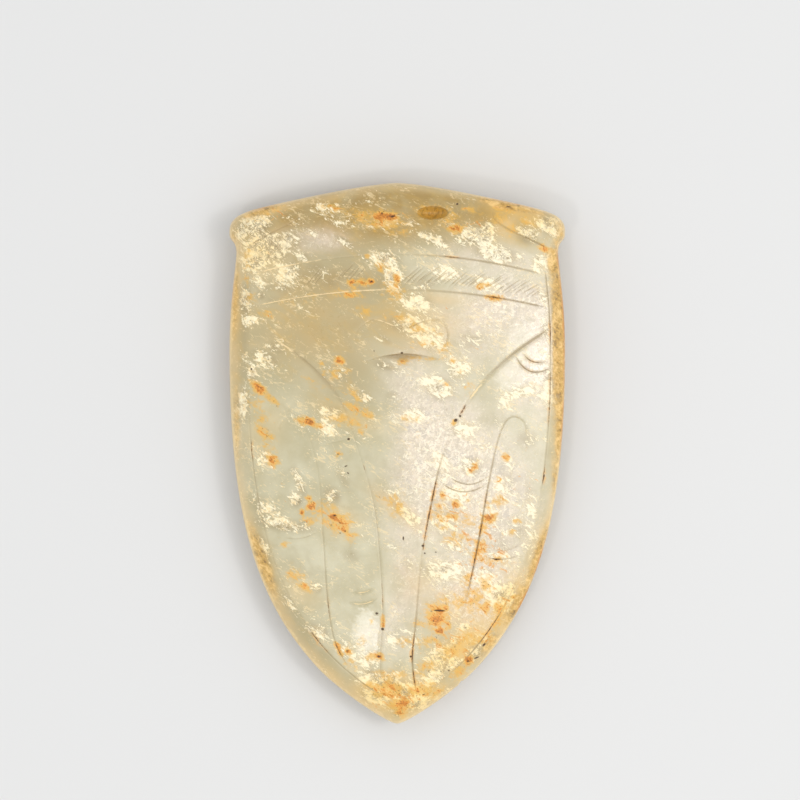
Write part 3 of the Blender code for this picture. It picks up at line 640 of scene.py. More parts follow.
# %% Russet stains
RUSSET = [
    # Wide and soft, over the whole back
    (385, 222, 24, 9, 0, 0.62), (355, 214, 10, 6, 0, 0.45), (330, 206, 12, 5, 0, 0.40),
    (402, 232, 16, 7, 0, 0.35), (262, 214, 18, 5, 20, 0.5), (248, 255, 6, 10, 0, 0.35),
    (246, 276, 6, 14, 0, 0.4), (250, 300, 8, 14, 0, 0.3), (445, 218, 16, 9, 10, 0.42),
    (470, 210, 14, 6, -10, 0.4), (393, 290, 12, 10, 0, 0.5), (383, 268, 9, 9, 0, 0.42),
    (350, 290, 20, 8, 5, 0.42), (300, 300, 30, 6, 10, 0.25), (420, 330, 22, 8, -10, 0.36),
    (400, 318, 18, 7, -10, 0.36), (336, 372, 16, 9, 0, 0.35), (312, 383, 14, 6, -30, 0.3),
    (355, 395, 16, 7, -20, 0.4), (345, 420, 22, 8, -20, 0.42), (256, 402, 9, 16, 10, 0.35),
    (262, 420, 10, 12, 0, 0.35), (268, 446, 9, 12, -20, 0.35), (325, 510, 16, 12, 0, 0.45),
    (350, 535, 12, 9, 0, 0.42), (310, 520, 14, 7, 0, 0.4), (295, 575, 14, 8, -35, 0.45),
    (262, 575, 7, 22, 22, 0.35), (480, 548, 10, 20, 5, 0.5), (497, 560, 14, 7, 0, 0.42),
    (475, 600, 12, 20, 0, 0.5), (460, 600, 14, 12, 0, 0.42), (455, 540, 14, 9, 0, 0.45),
    (440, 510, 10, 16, 0, 0.5), (470, 520, 12, 8, 0, 0.42), (500, 500, 10, 9, 0, 0.4),
    (430, 640, 16, 9, 20, 0.5), (450, 650, 16, 9, 20, 0.45), (470, 640, 14, 12, 0, 0.42),
    (420, 690, 18, 8, 10, 0.62), (378, 690, 14, 8, -20, 0.6), (390, 676, 16, 7, 0, 0.5),
    (350, 664, 12, 7, -30, 0.42), (362, 640, 6, 8, 0, 0.35), (500, 610, 10, 14, -20, 0.5),
    (488, 640, 8, 10, -30, 0.55), (460, 672, 12, 8, 35, 0.6), (512, 230, 14, 8, -20, 0.35),
    (528, 222, 12, 6, -20, 0.35), (425, 345, 26, 5, 0, 0.3), (445, 350, 10, 10, 0, 0.35),
    (470, 385, 8, 10, 0, 0.35),
    # Small and strong, on the brow and the eyes
    (337, 208, 8, 5, 0, 0.55), (362, 218, 9, 6, 0, 0.62), (384, 217, 17, 6.5, 0, 1.0),
    (392, 216, 5, 3, 0, 1.15), (274, 208, 16, 5, 25, 0.5), (503, 206, 16, 5, -12, 0.72),
    (509, 206, 7, 2.5, -10, 0.95), (456, 229, 9, 5, 0, 0.75), (454, 230, 4, 3, 0, 0.95),
    (433, 213, 17, 8, 0, 0.62), (500, 218, 12, 9, 0, 0.40),
    # On the collar and the neck
    (352, 282.5, 5, 3.5, 0, 0.95), (371, 282, 5, 3.5, 0, 1.05), (361, 283, 14, 4, 0, 0.65),
    (350, 295.5, 12, 3.5, -3, 0.72), (397, 279, 5, 6, 0, 0.72), (367, 257, 4, 3, 0, 0.6),
    (265, 315, 8, 7, 0, 0.38), (364, 312, 9, 7, 0, 0.36), (482, 286, 9, 4, 10, 0.6),
    (494, 298, 10, 5, -10, 0.62), (481, 288, 4, 2.5, 0, 0.75),
    # On the left wing
    (340, 361, 5.5, 5, 0, 0.95), (322, 363, 5, 4, 0, 0.4), (258, 388, 11, 5, -38, 0.85),
    (272, 400, 9, 4, -38, 0.6), (264, 432, 12, 6, -45, 0.68), (273, 461, 7, 7, -30, 0.9),
    (307, 421.5, 11, 4.5, -12, 0.95), (320, 426, 9, 4, -25, 0.55), (357, 409, 18, 7, -20, 0.5),
    (371, 416, 12, 3.5, -15, 0.55), (349, 392, 4, 3, 0, 0.4), (327, 399, 5, 2.5, -40, 0.45),
    (362, 432, 5, 3.5, -20, 0.6), (338, 454, 5, 4, 0, 0.7), (311, 506, 5, 5.5, 0, 1.0),
    (309, 498, 4, 4, 0, 0.75), (301.5, 512.5, 3, 3, 0, 0.95), (338, 521, 15, 11, -15, 0.72),
    (334, 516, 6, 4, 0, 0.98), (345, 527, 7, 6, 0, 0.8), (380, 496, 8, 3.5, -20, 0.55),
    (396, 505, 10, 14, 0, 0.42), (304, 587, 9, 5, -35, 0.78), (285, 545, 6, 4, 0, 0.5),
    # Behind the notch and on the right wing
    (404, 361, 8, 4, 0, 0.66), (404, 361, 3, 2, 0, 0.85), (420, 358, 22, 3, -3, 0.42),
    (453, 360, 4, 3, 0, 0.5), (446, 385, 4, 3.5, 0, 0.72), (459, 371, 3, 3, 0, 0.6),
    (454, 422, 3, 3.5, 0, 0.62), (412, 418, 12, 6, -10, 0.42), (475, 466, 4, 6, -30, 0.66),
    (470, 471, 6, 3, 20, 0.6), (507, 457, 6, 4, -20, 0.66), (499, 480, 4, 5, 0, 0.55),
    (456, 503, 9, 5, -30, 0.62), (468, 500, 4, 2.5, 0, 0.6), (443, 496, 6, 8, 0, 0.5),
    (455, 517, 7, 4, 0, 0.6), (489, 519, 10, 6, 10, 0.85), (483, 528, 5, 10, 0, 0.62),
    (444, 528, 4, 3.5, 0, 0.66), (516, 520, 8, 4, 0, 0.5), (510, 533, 9, 4, 10, 0.45),
    (445, 516, 12, 6, 0, 0.45), (489, 505, 5, 5, 0, 0.5), (486, 584, 8, 12, 0, 0.62),
    (486, 608, 6, 7, 0, 0.75), (467, 580, 7, 8, 0, 0.55), (474, 555, 9, 9, 0, 0.45),
    # Near the tail
    (438, 615, 13, 17, 0, 0.78), (446, 607, 4, 4, 0, 0.95), (440, 630, 7, 4, 20, 0.88),
    (433, 620, 4, 8, 0, 0.66), (448, 624, 4, 6, 0, 0.7), (422, 622, 12, 5, 0, 0.5),
    (478, 640, 12, 8, 0, 0.4), (468, 661, 6, 5, 20, 1.0), (514, 597, 4, 3, 0, 0.8),
    (495, 625, 14, 5, 55, 0.5), (378, 656, 7, 5, -20, 0.74), (370, 656, 5, 4, 20, 0.6),
    (348, 651, 6, 4, -35, 0.66), (372, 622, 4, 3, 0, 0.6), (383, 622, 3, 9, 0, 0.66),
    (339, 650, 3, 9, 25, 0.9), (393, 690, 20, 9, 0, 0.66), (400, 705, 12, 8, 0, 0.72),
    (438, 693, 10, 4, 35, 0.62), (426, 668, 14, 8, 20, 0.45), (545, 249, 8, 5, -40, 0.75),
    (400, 714, 7, 6, 0, 0.75), (405, 642, 10, 8, 0, 0.4),
]

# %% Clouds: warm, painted glow and milky
WARM = [
    (470, 645, 50, 34, 40, 0.2), (435, 615, 30, 30, 0, 0.25), (415, 325, 44, 22, 0, 0.3),
    (490, 330, 30, 30, 0, 0.15), (390, 212, 40, 12, 0, 0.5), (470, 212, 40, 12, 0, 0.4),
    (385, 284, 34, 14, 0, 0.4), (436, 208, 18, 8, 0, 0.6), (400, 202, 110, 28, 0, 0.95),
    (290, 215, 60, 20, 15, 0.5), (515, 215, 50, 22, -12, 0.5), (290, 330, 60, 40, 0, 0.36),
    (350, 320, 60, 45, 0, 0.38), (235, 330, 14, 130, 0, 0.35), (330, 270, 60, 22, 0, 0.36),
    (345, 385, 40, 22, -10, 0.32), (310, 240, 60, 18, 0, 0.34), (300, 285, 40, 14, 10, 0.32),
    (350, 365, 30, 20, 0, 0.25), (480, 245, 60, 22, -10, 0.25), (395, 700, 60, 26, 0, 0.15),
    (300, 640, 20, 60, 35, 0.3), (265, 590, 12, 70, 22, 0.4), (430, 350, 34, 18, 0, 0.3),
    (385, 230, 60, 20, 0, 0.5), (330, 210, 44, 22, 5, 0.5),
]
# Where the stone is thin or stained yellow: a painted glow, as of light shining through thin stone, with the
# yellow stain.
GLOW_PLACES = [
    (402, 698, 60, 20, 0, 1.0), (462, 645, 44, 16, 42, 0.9), (512, 605, 20, 36, -28, 0.9),
    (455, 612, 26, 26, 0, 0.4), (415, 325, 46, 24, 0, 0.35), (562, 380, 10, 160, 0, 0.55),
    (275, 205, 34, 9, 20, 0.45), (520, 214, 40, 10, -13, 0.7), (235, 300, 7, 70, 0, 0.5),
    (262, 560, 10, 70, 20, 0.4), (330, 680, 50, 12, -40, 0.45), (540, 560, 14, 60, -22, 0.6),
    (400, 510, 30, 9, -38, 0.45), (440, 300, 34, 8, -5, 0.3), (262, 250, 30, 26, -20, 0.5),
    (500, 230, 40, 12, -15, 0.4), (345, 415, 34, 10, -20, 0.4), (310, 325, 60, 40, 0, 0.22),
    (400, 225, 100, 24, 0, 0.15), (420, 580, 24, 20, 0, 0.25), (265, 430, 20, 30, -30, 0.2),
    (300, 590, 20, 12, -30, 0.3), (340, 521, 20, 14, -15, 0.3), (450, 520, 20, 16, 0, 0.2),
    (506, 220, 20, 12, -10, 0.6),
]
# Where the stone has turned pale and a little pink.
MILK = [
    (500, 256, 60, 18, -8, 0.35), (440, 264, 40, 20, 0, 0.2), (480, 320, 60, 50, 0, 0.55),
    (520, 300, 40, 30, 0, 0.5), (490, 500, 62, 90, 0, 0.85), (440, 440, 34, 60, 0, 0.6),
    (470, 600, 50, 40, 0, 0.6), (546, 356, 14, 50, 0, 0.7), (530, 380, 26, 30, 0, 0.5),
    (415, 460, 24, 110, 0, 0.4), (400, 600, 20, 70, 0, 0.35), (370, 640, 30, 30, 0, 0.45),
    (300, 240, 50, 20, 0, 0.4), (395, 380, 26, 40, 0, 0.35), (380, 500, 26, 60, 0, 0.25),
    (330, 240, 30, 14, 0, 0.35),
]

# %% Polish, rim stains and rust
# Where the old polish is still whole, so that it glints.
GLOSS = [
    (528, 352, 26, 34, 0, 1.0), (545, 330, 10, 40, 0, 0.9), (512, 378, 22, 16, 20, 0.8),
    (368, 636, 17, 26, 10, 1.0), (362, 610, 14, 16, 0, 0.5), (330, 330, 50, 40, 0, 0.35),
    (330, 560, 50, 50, 0, 0.35), (545, 240, 16, 14, 0, 0.5),
]
# Where the rim's band is stained amber.
RIM_STAIN = [
    (562, 330, 12, 110, 0, 1.0), (564, 430, 9, 60, 0, 0.9), (558, 262, 12, 20, 0, 0.9),
    (558, 490, 7, 40, 5, 0.6), (542, 556, 9, 50, -20, 0.9), (522, 602, 9, 32, -30, 0.9),
    (490, 645, 9, 26, -40, 0.5), (233, 290, 7, 60, 0, 0.65), (262, 562, 8, 44, 20, 0.75),
    (232, 250, 7, 24, 0, 0.6), (262, 208, 26, 7, 20, 0.8), (510, 205, 40, 6, -12, 0.8),
    (400, 716, 22, 9, 0, 0.3), (300, 650, 8, 40, 35, 0.3), (236, 420, 6, 60, 0, 0.45),
]
# Where small orange flecks are scattered over the stone.
RUST = [
    (480, 560, 46, 70, 0, 0.78), (455, 510, 30, 30, 0, 0.85), (520, 480, 30, 50, 0, 0.50),
    (450, 640, 50, 36, 20, 0.75), (400, 695, 44, 20, 0, 0.92), (395, 215, 60, 16, 0, 0.60),
    (480, 225, 50, 20, -10, 0.60), (275, 215, 34, 14, 20, 0.62), (510, 600, 24, 34, -25, 0.80),
    (440, 300, 60, 30, 0, 0.40), (470, 370, 60, 30, 0, 0.35), (370, 420, 40, 24, -20, 0.45),
    (262, 262, 26, 26, 0, 0.42), (395, 285, 24, 22, 0, 0.60), (330, 520, 40, 30, 0, 0.42),
    (265, 420, 22, 70, 0, 0.42), (290, 510, 24, 40, 0, 0.45), (345, 420, 40, 18, -20, 0.40),
    (480, 290, 40, 12, -8, 0.45), (375, 650, 30, 30, 0, 0.40), (300, 620, 30, 40, 30, 0.35),
    (420, 325, 50, 26, 0, 0.38), (450, 385, 24, 24, 0, 0.50), (560, 380, 10, 140, 0, 0.60),
    (385, 505, 40, 26, 0, 0.36),
]

# %% Dirt and cream in the cuts, and dark specks
# Where dark soil fills the cuts.
DIRT = [
    (452, 256, 12, 5, 0, 0.8), (497, 298, 14, 4, -10, 0.8), (545, 249, 10, 6, -40, 1.0),
    (552, 285, 5, 26, 5, 0.7), (549, 330, 4, 26, 0, 0.8), (516, 352, 32, 8, 40, 0.40),
    (494, 372, 16, 6, 45, 0.55), (532, 364, 18, 14, 0, 0.7), (549, 400, 4, 40, 0, 0.85),
    (545, 476, 4, 16, -5, 0.95), (432, 502, 6, 26, -15, 1.3), (425, 534, 5, 20, -10, 1.0),
    (518, 418, 8, 4, 0, 0.6), (485, 498, 6, 14, -10, 0.7), (481, 530, 5, 14, -10, 0.9),
    (474, 565, 6, 26, -12, 1.2), (412, 650, 4, 30, -5, 0.9), (415, 682, 4, 16, 0, 1.3),
    (494, 630, 7, 24, -35, 1.2), (441, 678, 4, 10, -30, 1.1), (516, 553, 24, 8, 5, 0.5),
    (497, 560, 7, 4, 0, 1.0), (253, 450, 4, 20, 0, 0.7), (258, 500, 4, 24, 8, 0.5),
    (329, 600, 5, 50, 0, 0.6), (339, 648, 4, 10, 25, 1.0), (365, 465, 4, 18, 0, 0.5),
    (383, 600, 4, 34, 0, 0.55), (322, 535, 4, 20, 0, 0.6), (318, 645, 10, 30, 40, 0.8),
    (310, 267, 14, 10, 50, 0.45), (462, 410, 4, 8, -25, 0.8), (340, 690, 30, 8, -40, 0.5),
    (398, 355, 30, 4, 0, 0.5), (503, 268, 40, 8, -12, 0.35), (523, 300, 30, 6, -20, 0.4),
    (424, 546, 4, 6, 0, 0.9),
]
# Where chalk fills them instead.
CREAM = [
    (290, 262, 60, 10, 12, 0.7), (300, 297, 70, 7, 9, 1.0), (370, 290, 30, 6, 0, 0.7),
    (280, 341, 18, 10, -40, 1.0), (474, 390, 10, 14, 52, 1.0), (364, 590, 22, 8, 10, 0.8),
    (358, 400, 64, 16, -62, 0.80), (364, 602, 24, 8, 10, 0.9), (385, 322, 30, 8, 0, 0.7),
    (430, 320, 16, 8, 0, 0.4), (325, 680, 40, 10, -42, 0.6), (470, 280, 70, 16, -5, 0.35),
]
# Dark specks are pinholes, so they are sunk into the skin as well.
SPECKS = [
    (401.8, 353.4, 1.5, 1.2, 0, 1.3), (457.2, 203.7, 1.3, 1.2, 0, 1.3), (374, 351, 0.9, 0.9, 0, 1.0),
    (455.6, 420.2, 2.4, 2.0, 30, 1.1), (460, 416, 1.3, 1.2, 60, 1.2), (376.7, 613.3, 1.6, 1.3, 0, 1.3),
    (382.5, 629, 1.8, 1.6, 0, 1.0), (347, 651, 1.6, 1.6, 0, 0.8), (378.6, 656.5, 2.6, 2.0, 0, 0.8),
    (411, 656.6, 1.3, 1.2, 0, 1.2), (439.5, 610.5, 6.5, 1.0, -3, 1.3), (468.5, 662, 2.2, 1.8, 0, 0.8),
    (477, 658.6, 3.6, 0.9, 20, 1.1), (484.5, 645.5, 2.6, 1.3, 45, 1.1), (403.3, 538, 0.9, 2.4, 0, 1.2),
    (335, 442, 16, 1.1, 13, 0.50), (348.6, 439, 1.6, 1.3, 20, 1.2), (346, 466, 2.2, 0.8, 20, 1.0),
    (348, 473, 1.8, 0.8, -40, 1.0), (251, 369, 1.2, 1.4, 0, 1.1), (334.7, 515.4, 2.2, 1.1, 10, 1.0),
    (345, 531, 1.5, 1.0, 0, 0.9), (331, 525, 1.2, 1.2, 0, 0.8), (340, 533, 1.4, 1.0, 0, 0.8),
    (338, 454, 1.4, 1.2, 0, 0.8), (382, 213, 1.2, 1.2, 0, 1.0), (393, 216.2, 3.4, 1.1, 8, 1.0),
    (397, 271, 1.2, 1.2, 0, 0.8), (424.6, 553, 1.6, 1.2, 0, 0.9), (435.8, 552, 1.4, 0.9, 0, 0.9),
    (422.8, 545.5, 1.5, 1.3, 0, 1.1), (429, 671.5, 1.0, 0.9, 0, 1.0), (441, 672, 1.0, 0.9, 0, 1.0),
    (449, 671, 1.1, 1.0, 0, 1.0), (424, 695, 2.4, 0.8, 20, 0.9), (446.5, 409.3, 1.0, 0.7, 0, 0.8),
    (544.5, 476, 1.0, 2.4, 0, 1.0), (509, 206.5, 5.0, 1.0, -6, 0.8), (301.5, 513, 1.3, 1.2, 0, 0.7),
    (496, 559.5, 2.2, 0.8, 5, 1.0), (371.5, 281.8, 2.2, 1.4, 20, 0.9), (351, 282.6, 2.0, 1.3, 0, 0.7),
    (455, 647, 0.9, 1.6, 0, 0.8), (276.6, 406, 0.9, 0.9, 0, 0.8), (266, 560.5, 1.0, 1.0, 0, 0.6),
]
stain_count = sum(map(len, (CHALK, RUSSET, WARM, MILK, GLOW_PLACES, RIM_STAIN, RUST, DIRT, CREAM, SPECKS)))
print(f"{stain_count} stains, flecks and specks")

# %% [markdown]
# ## The skin
# The skin is modelled on the solid itself. A copy of its mesh is merged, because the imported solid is
# loose triangles. Its faces are sorted into the back, the belly and the rounded edge between them. Then
# every edge that is too long for its place is split: short steps in the cuts and around specks, longer
# ones on the open slopes. This keeps the mesh under 200,000 triangles and still shows worn lips in the
# cuts. Last, each vertex is lifted onto the exact heights.

# %% Copy the solid and sort its faces
SAME_PLACE = 0.001 * MM
BACK, BELLY, EDGE = 0, 1, 2
EDGE_FACE_INSET = 0.42 * MM

skin = bmesh.new()
skin.from_mesh(solid.data)
bmesh.ops.remove_doubles(skin, verts=skin.verts, dist=SAME_PLACE)
skin.normal_update()
middles = np.array([face.calc_center_median() for face in skin.faces])
for face, middle, inset in zip(list(skin.faces), middles, inset_of(middles[:, :2])):
    face.material_index = EDGE if inset < EDGE_FACE_INSET else BACK if face.normal.z > 0 else BELLY
for part, name in ((BACK, "back"), (BELLY, "belly"), (EDGE, "edge")):
    print(f"{sum(face.material_index == part for face in skin.faces)} faces of the merged copy on the {name}")

# %% Split the edges where the relief bends
OPEN_STEP = 0.37 * MM
BELLY_STEP = 0.80 * MM
EDGE_STEP = 0.36 * MM
SHORTEST = 0.07 * MM
TOLERANCE = 0.0035 * MM
SPECK_DEPTH = 0.09 * MM
SPLIT_ROUNDS = 6
TESTED_SHARES = (0.25, 0.50, 0.75)


def fine_forms(points, underside):
    """The height of all that is narrow: cuts, pit and specks."""
    heights = np.zeros(len(points))
    top = points[~underside]
    heights[~underside] = cut_depth(top, BACK_CUTS) + pit_depth(top) + SPECK_DEPTH * spread(top, SPECKS)
    heights[underside] = cut_depth(points[underside], BELLY_CUTS)
    return heights


def edges_to_split():
    """The edges that are too long for their part, or that cut a corner of the relief."""
    edges = list(skin.edges)
    starts, stops = (np.array([edge.verts[end].co for edge in edges]) for end in (0, 1))
    faces = [[face.material_index for face in edge.link_faces] for edge in edges]
    on_rim, underside = (np.array([part in face for face in faces]) for part in (EDGE, BELLY))
    lengths = np.linalg.norm(stops - starts, axis=1)
    limits = np.where(on_rim, EDGE_STEP, np.where(underside, BELLY_STEP, OPEN_STEP))
    chosen = lengths > limits
    rest = np.flatnonzero(~chosen & (lengths > 2 * SHORTEST))
    a, b, below = starts[rest, :2], stops[rest, :2], underside[rest]
    first, last = fine_forms(a, below), fine_forms(b, below)
    misses = [abs(fine_forms((1 - share) * a + share * b, below) - (1 - share) * first - share * last)
              for share in TESTED_SHARES]
    chosen[rest] = np.max(misses, axis=0) > TOLERANCE
    return [edges[number] for number in np.flatnonzero(chosen)]


for _ in range(SPLIT_ROUNDS):
    long_edges = edges_to_split()
    if not long_edges:
        break
    bmesh.ops.subdivide_edges(skin, edges=long_edges, cuts=1)
    bmesh.ops.triangulate(skin, faces=[face for face in skin.faces if len(face.verts) > 3])
    print(f"{len(long_edges)} edges split, {len(skin.faces)} triangles")

# %% Lift the vertices onto the exact heights
MOST_SHIFT = 0.04 * MM


def outline_at(distance):
    """The outline's points and inward normals at distances along it."""
    run = run_along(CLOSED_OUTLINE)
    closed_normals = np.vstack([INWARDS, INWARDS[:1]])
    return [np.column_stack([np.interp(distance, run, column) for column in values.T])
            for values in (CLOSED_OUTLINE, closed_normals)]


def round_the_edge(corners):
    """The edge's vertices, moved onto an ellipse between the back and the belly."""
    plan = corners[:, :2]
    inset, distance, _ = measure(plan, CLOSED_OUTLINE)
    outline, inwards = outline_at(distance)
    sheet_edge = outline + EDGE_ROUNDING * inwards
    top, bottom = back(sheet_edge), belly(sheet_edge)
    height = np.clip((2 * corners[:, 2] - top - bottom) / (top - bottom), -1, 1)
    wanted = EDGE_ROUNDING * (1 - np.sqrt(1 - height**2))
    shift = np.clip(wanted - inset, -MOST_SHIFT, MOST_SHIFT)
    return np.column_stack([plan + shift[:, None] * inwards, corners[:, 2]])


skin.verts.ensure_lookup_table()
corners = np.array([corner.co for corner in skin.verts])
parts = [{face.material_index for face in corner.link_faces} for corner in skin.verts]
on_edge = np.array([EDGE in part for part in parts])
on_back = np.array([BACK in part for part in parts])
on_belly = np.array([BELLY in part for part in parts])
before = corners.copy()
corners[on_edge] = round_the_edge(corners[on_edge])
corners[on_back, 2] = back(corners[on_back, :2])
corners[on_belly, 2] = belly(corners[on_belly, :2])
for corner, co in zip(skin.verts, corners):
    corner.co = co
moved = np.linalg.norm(corners - before, axis=1) / MM
print(f"the vertices moved {moved.mean():.3f} mm on average and {moved.max():.2f} mm at most")

# %% [markdown]
# ## Fine relief
# The decay also left its mark on the form. The chalky places are rough, each dark speck is a pinhole, and
# the rim has three tiny chips. The pit in the brow still has the drill's scratches across it. All this is
# worked out as small moves of the vertices, so that it shows in the mesh and not only in the picture.

# %% Roughen the crust, sink the specks, scratch the pit, chip the rim
CRUST_ROUGHNESS = 0.030 * MM
CRUST_GRAIN = 0.45 * MM
SCRATCH_DEPTH = 0.03 * MM
SCRATCH_GAP = 0.27 * MM
EDGE_RELIEF = 0.5
LEAST_MOVE = 0.0005 * MM
STRONGEST = 1.3
BELLY_TURN = (-0.92, -0.85)
BELLY_SHIFT = (0, 3 * MM)
CHIP_DEPTH = 0.16 * MM
CHIPS = [(462, 684, 1.8, 1.8, 0, 1.0), (236, 531, 1.5, 2.2, 0, 0.5), (549, 589, 1.5, 2.5, 0, 0.4)]


def on_stains(points, upside):
    """Where to read the stains: the belly wears them turned about, so that it isn't the back's mirror."""
    return np.where(upside[:, None], points, points * BELLY_TURN - BELLY_SHIFT)


def grain(points, size, octaves=3):
    """Fractal noise between about -1 and 1."""
    return np.array([noise.fractal(Vector(point) / size, 1.0, 2.0, octaves) for point in points])


plan = corners[:, :2]
upside = ~on_belly
where = on_stains(plan, upside)
chalk = np.clip(spread(where, CHALK), 0, 1)
specks = np.clip(spread(where, SPECKS), 0, STRONGEST) * upside
pit = pit_depth(plan) / PIT_DEPTH * upside
scratches = np.sin(2 * math.pi * plan[:, 0] / SCRATCH_GAP) * smooth_step(4 * pit)
relief = CRUST_ROUGHNESS * smooth_step((chalk - 0.35) / 0.5) * grain(corners, CRUST_GRAIN)
relief -= SPECK_DEPTH * smooth_step(specks) + SCRATCH_DEPTH * scratches
relief[on_edge] *= EDGE_RELIEF
relief[on_belly] = -np.abs(relief[on_belly])
relief -= CHIP_DEPTH * spread(plan, CHIPS)
skin.normal_update()
for corner, height in zip(skin.verts, relief):
    if abs(height) > LEAST_MOVE:
        corner.co += corner.normal * height
for face in skin.faces:
    face.material_index = 0
    face.smooth = True
print(f"relief from {relief.min() / MM:.3f} to {relief.max() / MM:.3f} mm")

# %% Make the piece
piece_mesh = bpy.data.meshes.new("jade_skin")
skin.to_mesh(piece_mesh)
skin.free()
jade_skin = bpy.data.objects.new("jade_skin", piece_mesh)
bpy.context.scene.collection.objects.link(jade_skin)
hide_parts("jade_cicada")
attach(jade_skin, "root")
print(f"the skin has {len(piece_mesh.vertices)} vertices and {len(piece_mesh.polygons)} triangles")

# %% [markdown]
# ## The maps for the colours
# The material needs to know where each stain is. Painting an image would be one way, but the vertices are
# only a fifth of a millimetre apart, so the maps fit in the mesh itself as attributes: one number per
# vertex and map. Noise in the material breaks their soft edges up afterwards.

# %% How deep each vertex lies in the cuts, how close to them, and how near the rim
HALO_WIDTH = 1.6 * MM
BELLY_DIRT = 0.6


def share_of_cuts(points, **changes):
    """How far down each point is in the back's cuts, had they been made with these changes."""
    return cut_depth(points, [(cut._replace(depth=1, **changes), path) for cut, path in BACK_CUTS])


belly_share = cut_depth(plan, BELLY_CUTS) / BELLY_LINE.depth
cuts = np.where(upside, share_of_cuts(plan, wear=0.5, press=[1]), belly_share)
worn = np.where(upside, share_of_cuts(plan), cuts)
halo = share_of_cuts(plan, width=HALO_WIDTH, left=[0.5], right=[0.5], press=[1]) * upside
rim = np.clip(1 - inset_of(plan) / band_width(plan), 0, 1)
print(f"{(cuts > 0).sum()} vertices in the cuts, {(rim > 0).sum()} near the rim")

# %% Store one attribute for each map
maps = {
    "chalk": chalk,
    "russet": spread(where, RUSSET),
    "warm": np.clip(spread(where, WARM, np.add), 0, 1),
    "milk": np.clip(spread(where, MILK, np.add), 0, 1),
    "gloss": spread(where, GLOSS),
    "glow": np.clip(spread(where, GLOW_PLACES), 0, 1),
    "rim_stain": spread(where, RIM_STAIN),
    "rust": np.clip(spread(where, RUST), 0, 1),
    "cuts": cuts,
    "worn": worn,
    "halo": halo,
    "dirt": np.clip(np.maximum(spread(where, DIRT), np.where(upside, 0, BELLY_DIRT)), 0, STRONGEST),
    "cream": spread(where, CREAM),
    "specks": specks,
    "pit": pit,
    "rim": rim,
}
for name, values in maps.items():
    attribute_data = piece_mesh.attributes.new(name, "FLOAT", "POINT").data
    attribute_data.foreach_set("value", values.astype(np.float32))
    print(f"{name}: mean {values.mean():.2f}, greatest {values.max():.2f}")

# %% [markdown]
# ## Shader maths
# Colours are worked out with many small sums. Wired by hand, they would hide what happens, so one class
# wraps the output of a node, and Python's own operators add the Math nodes.

# %% A class for values that vary over the surface
class Value:
    """The output of a shader node. Sums with it add Math nodes to the tree."""

    tree = None

    def __init__(self, socket):
        self.socket = socket

    @classmethod
    def node(cls, kind, settings=None, inputs=None, output=0):
        """Adds a node, with its settings first and then the values or links of its sockets."""
        node = cls.tree.nodes.new(kind)
        for name, value in (settings or {}).items():
            if name == "stops":
                set_stops(node.color_ramp, value)
            else:
                setattr(node, name, value)
        for name, value in (inputs or {}).items():
            if isinstance(value, cls):
                cls.tree.links.new(value.socket, node.inputs[name])
            else:
                node.inputs[name].default_value = value
        return cls(node.outputs[output])

    def math(self, operation, *others):
        return self.node("ShaderNodeMath", {"operation": operation}, dict(enumerate((self, *others))))

    def __add__(self, other):
        return self.math("ADD", other)

    __radd__ = __add__

    def __mul__(self, other):
        return self.math("MULTIPLY", other)

    __rmul__ = __mul__

    def __sub__(self, other):
        return self.math("SUBTRACT", other)

    def __rsub__(self, other):
        return (self * -1) + other

    def __pow__(self, other):
        return self.math("POWER", other)

    def at_most(self, other):
        return self.math("MINIMUM", other)

    def at_least(self, other):
        return self.math("MAXIMUM", other)

    def swing(self, size):
        """For noise around a half: how far it is from there, this many times."""
        return (self - 0.5) * size

    def step(self, low, high):
        """Rises smoothly from 0 at low to 1 at high."""
        settings = {"interpolation_type": "SMOOTHSTEP"}
        return self.node("ShaderNodeMapRange", settings, {"Value": self, "From Min": low, "From Max": high})


def set_stops(ramp, stops):
    while len(ramp.elements) < len(stops):
        ramp.elements.new(1.0)
    for element, (position, colour) in zip(ramp.elements, stops):
        element.position = position
        element.color = (*colour, 1)


def attribute(name):
    return Value.node("ShaderNodeAttribute", {"attribute_name": name}, output="Fac")


def mix(first, second, share):
    """One colour over another."""
    first, second = ((*colour, 1) if isinstance(colour, tuple) else colour for colour in (first, second))
    return Value.node("ShaderNodeMix", {"data_type": "RGBA"}, {0: share, 6: first, 7: second}, 2)


def clouds(where, size, detail=3.0, roughness=0.55, distortion=0.0):
    """Noise between 0 and 1 with features of about this size, in millimetres."""
    inputs = {"Detail": detail, "Roughness": roughness, "Distortion": distortion}
    return Value.node("ShaderNodeTexNoise", {}, {"Vector": where, "Scale": 1 / size, **inputs})
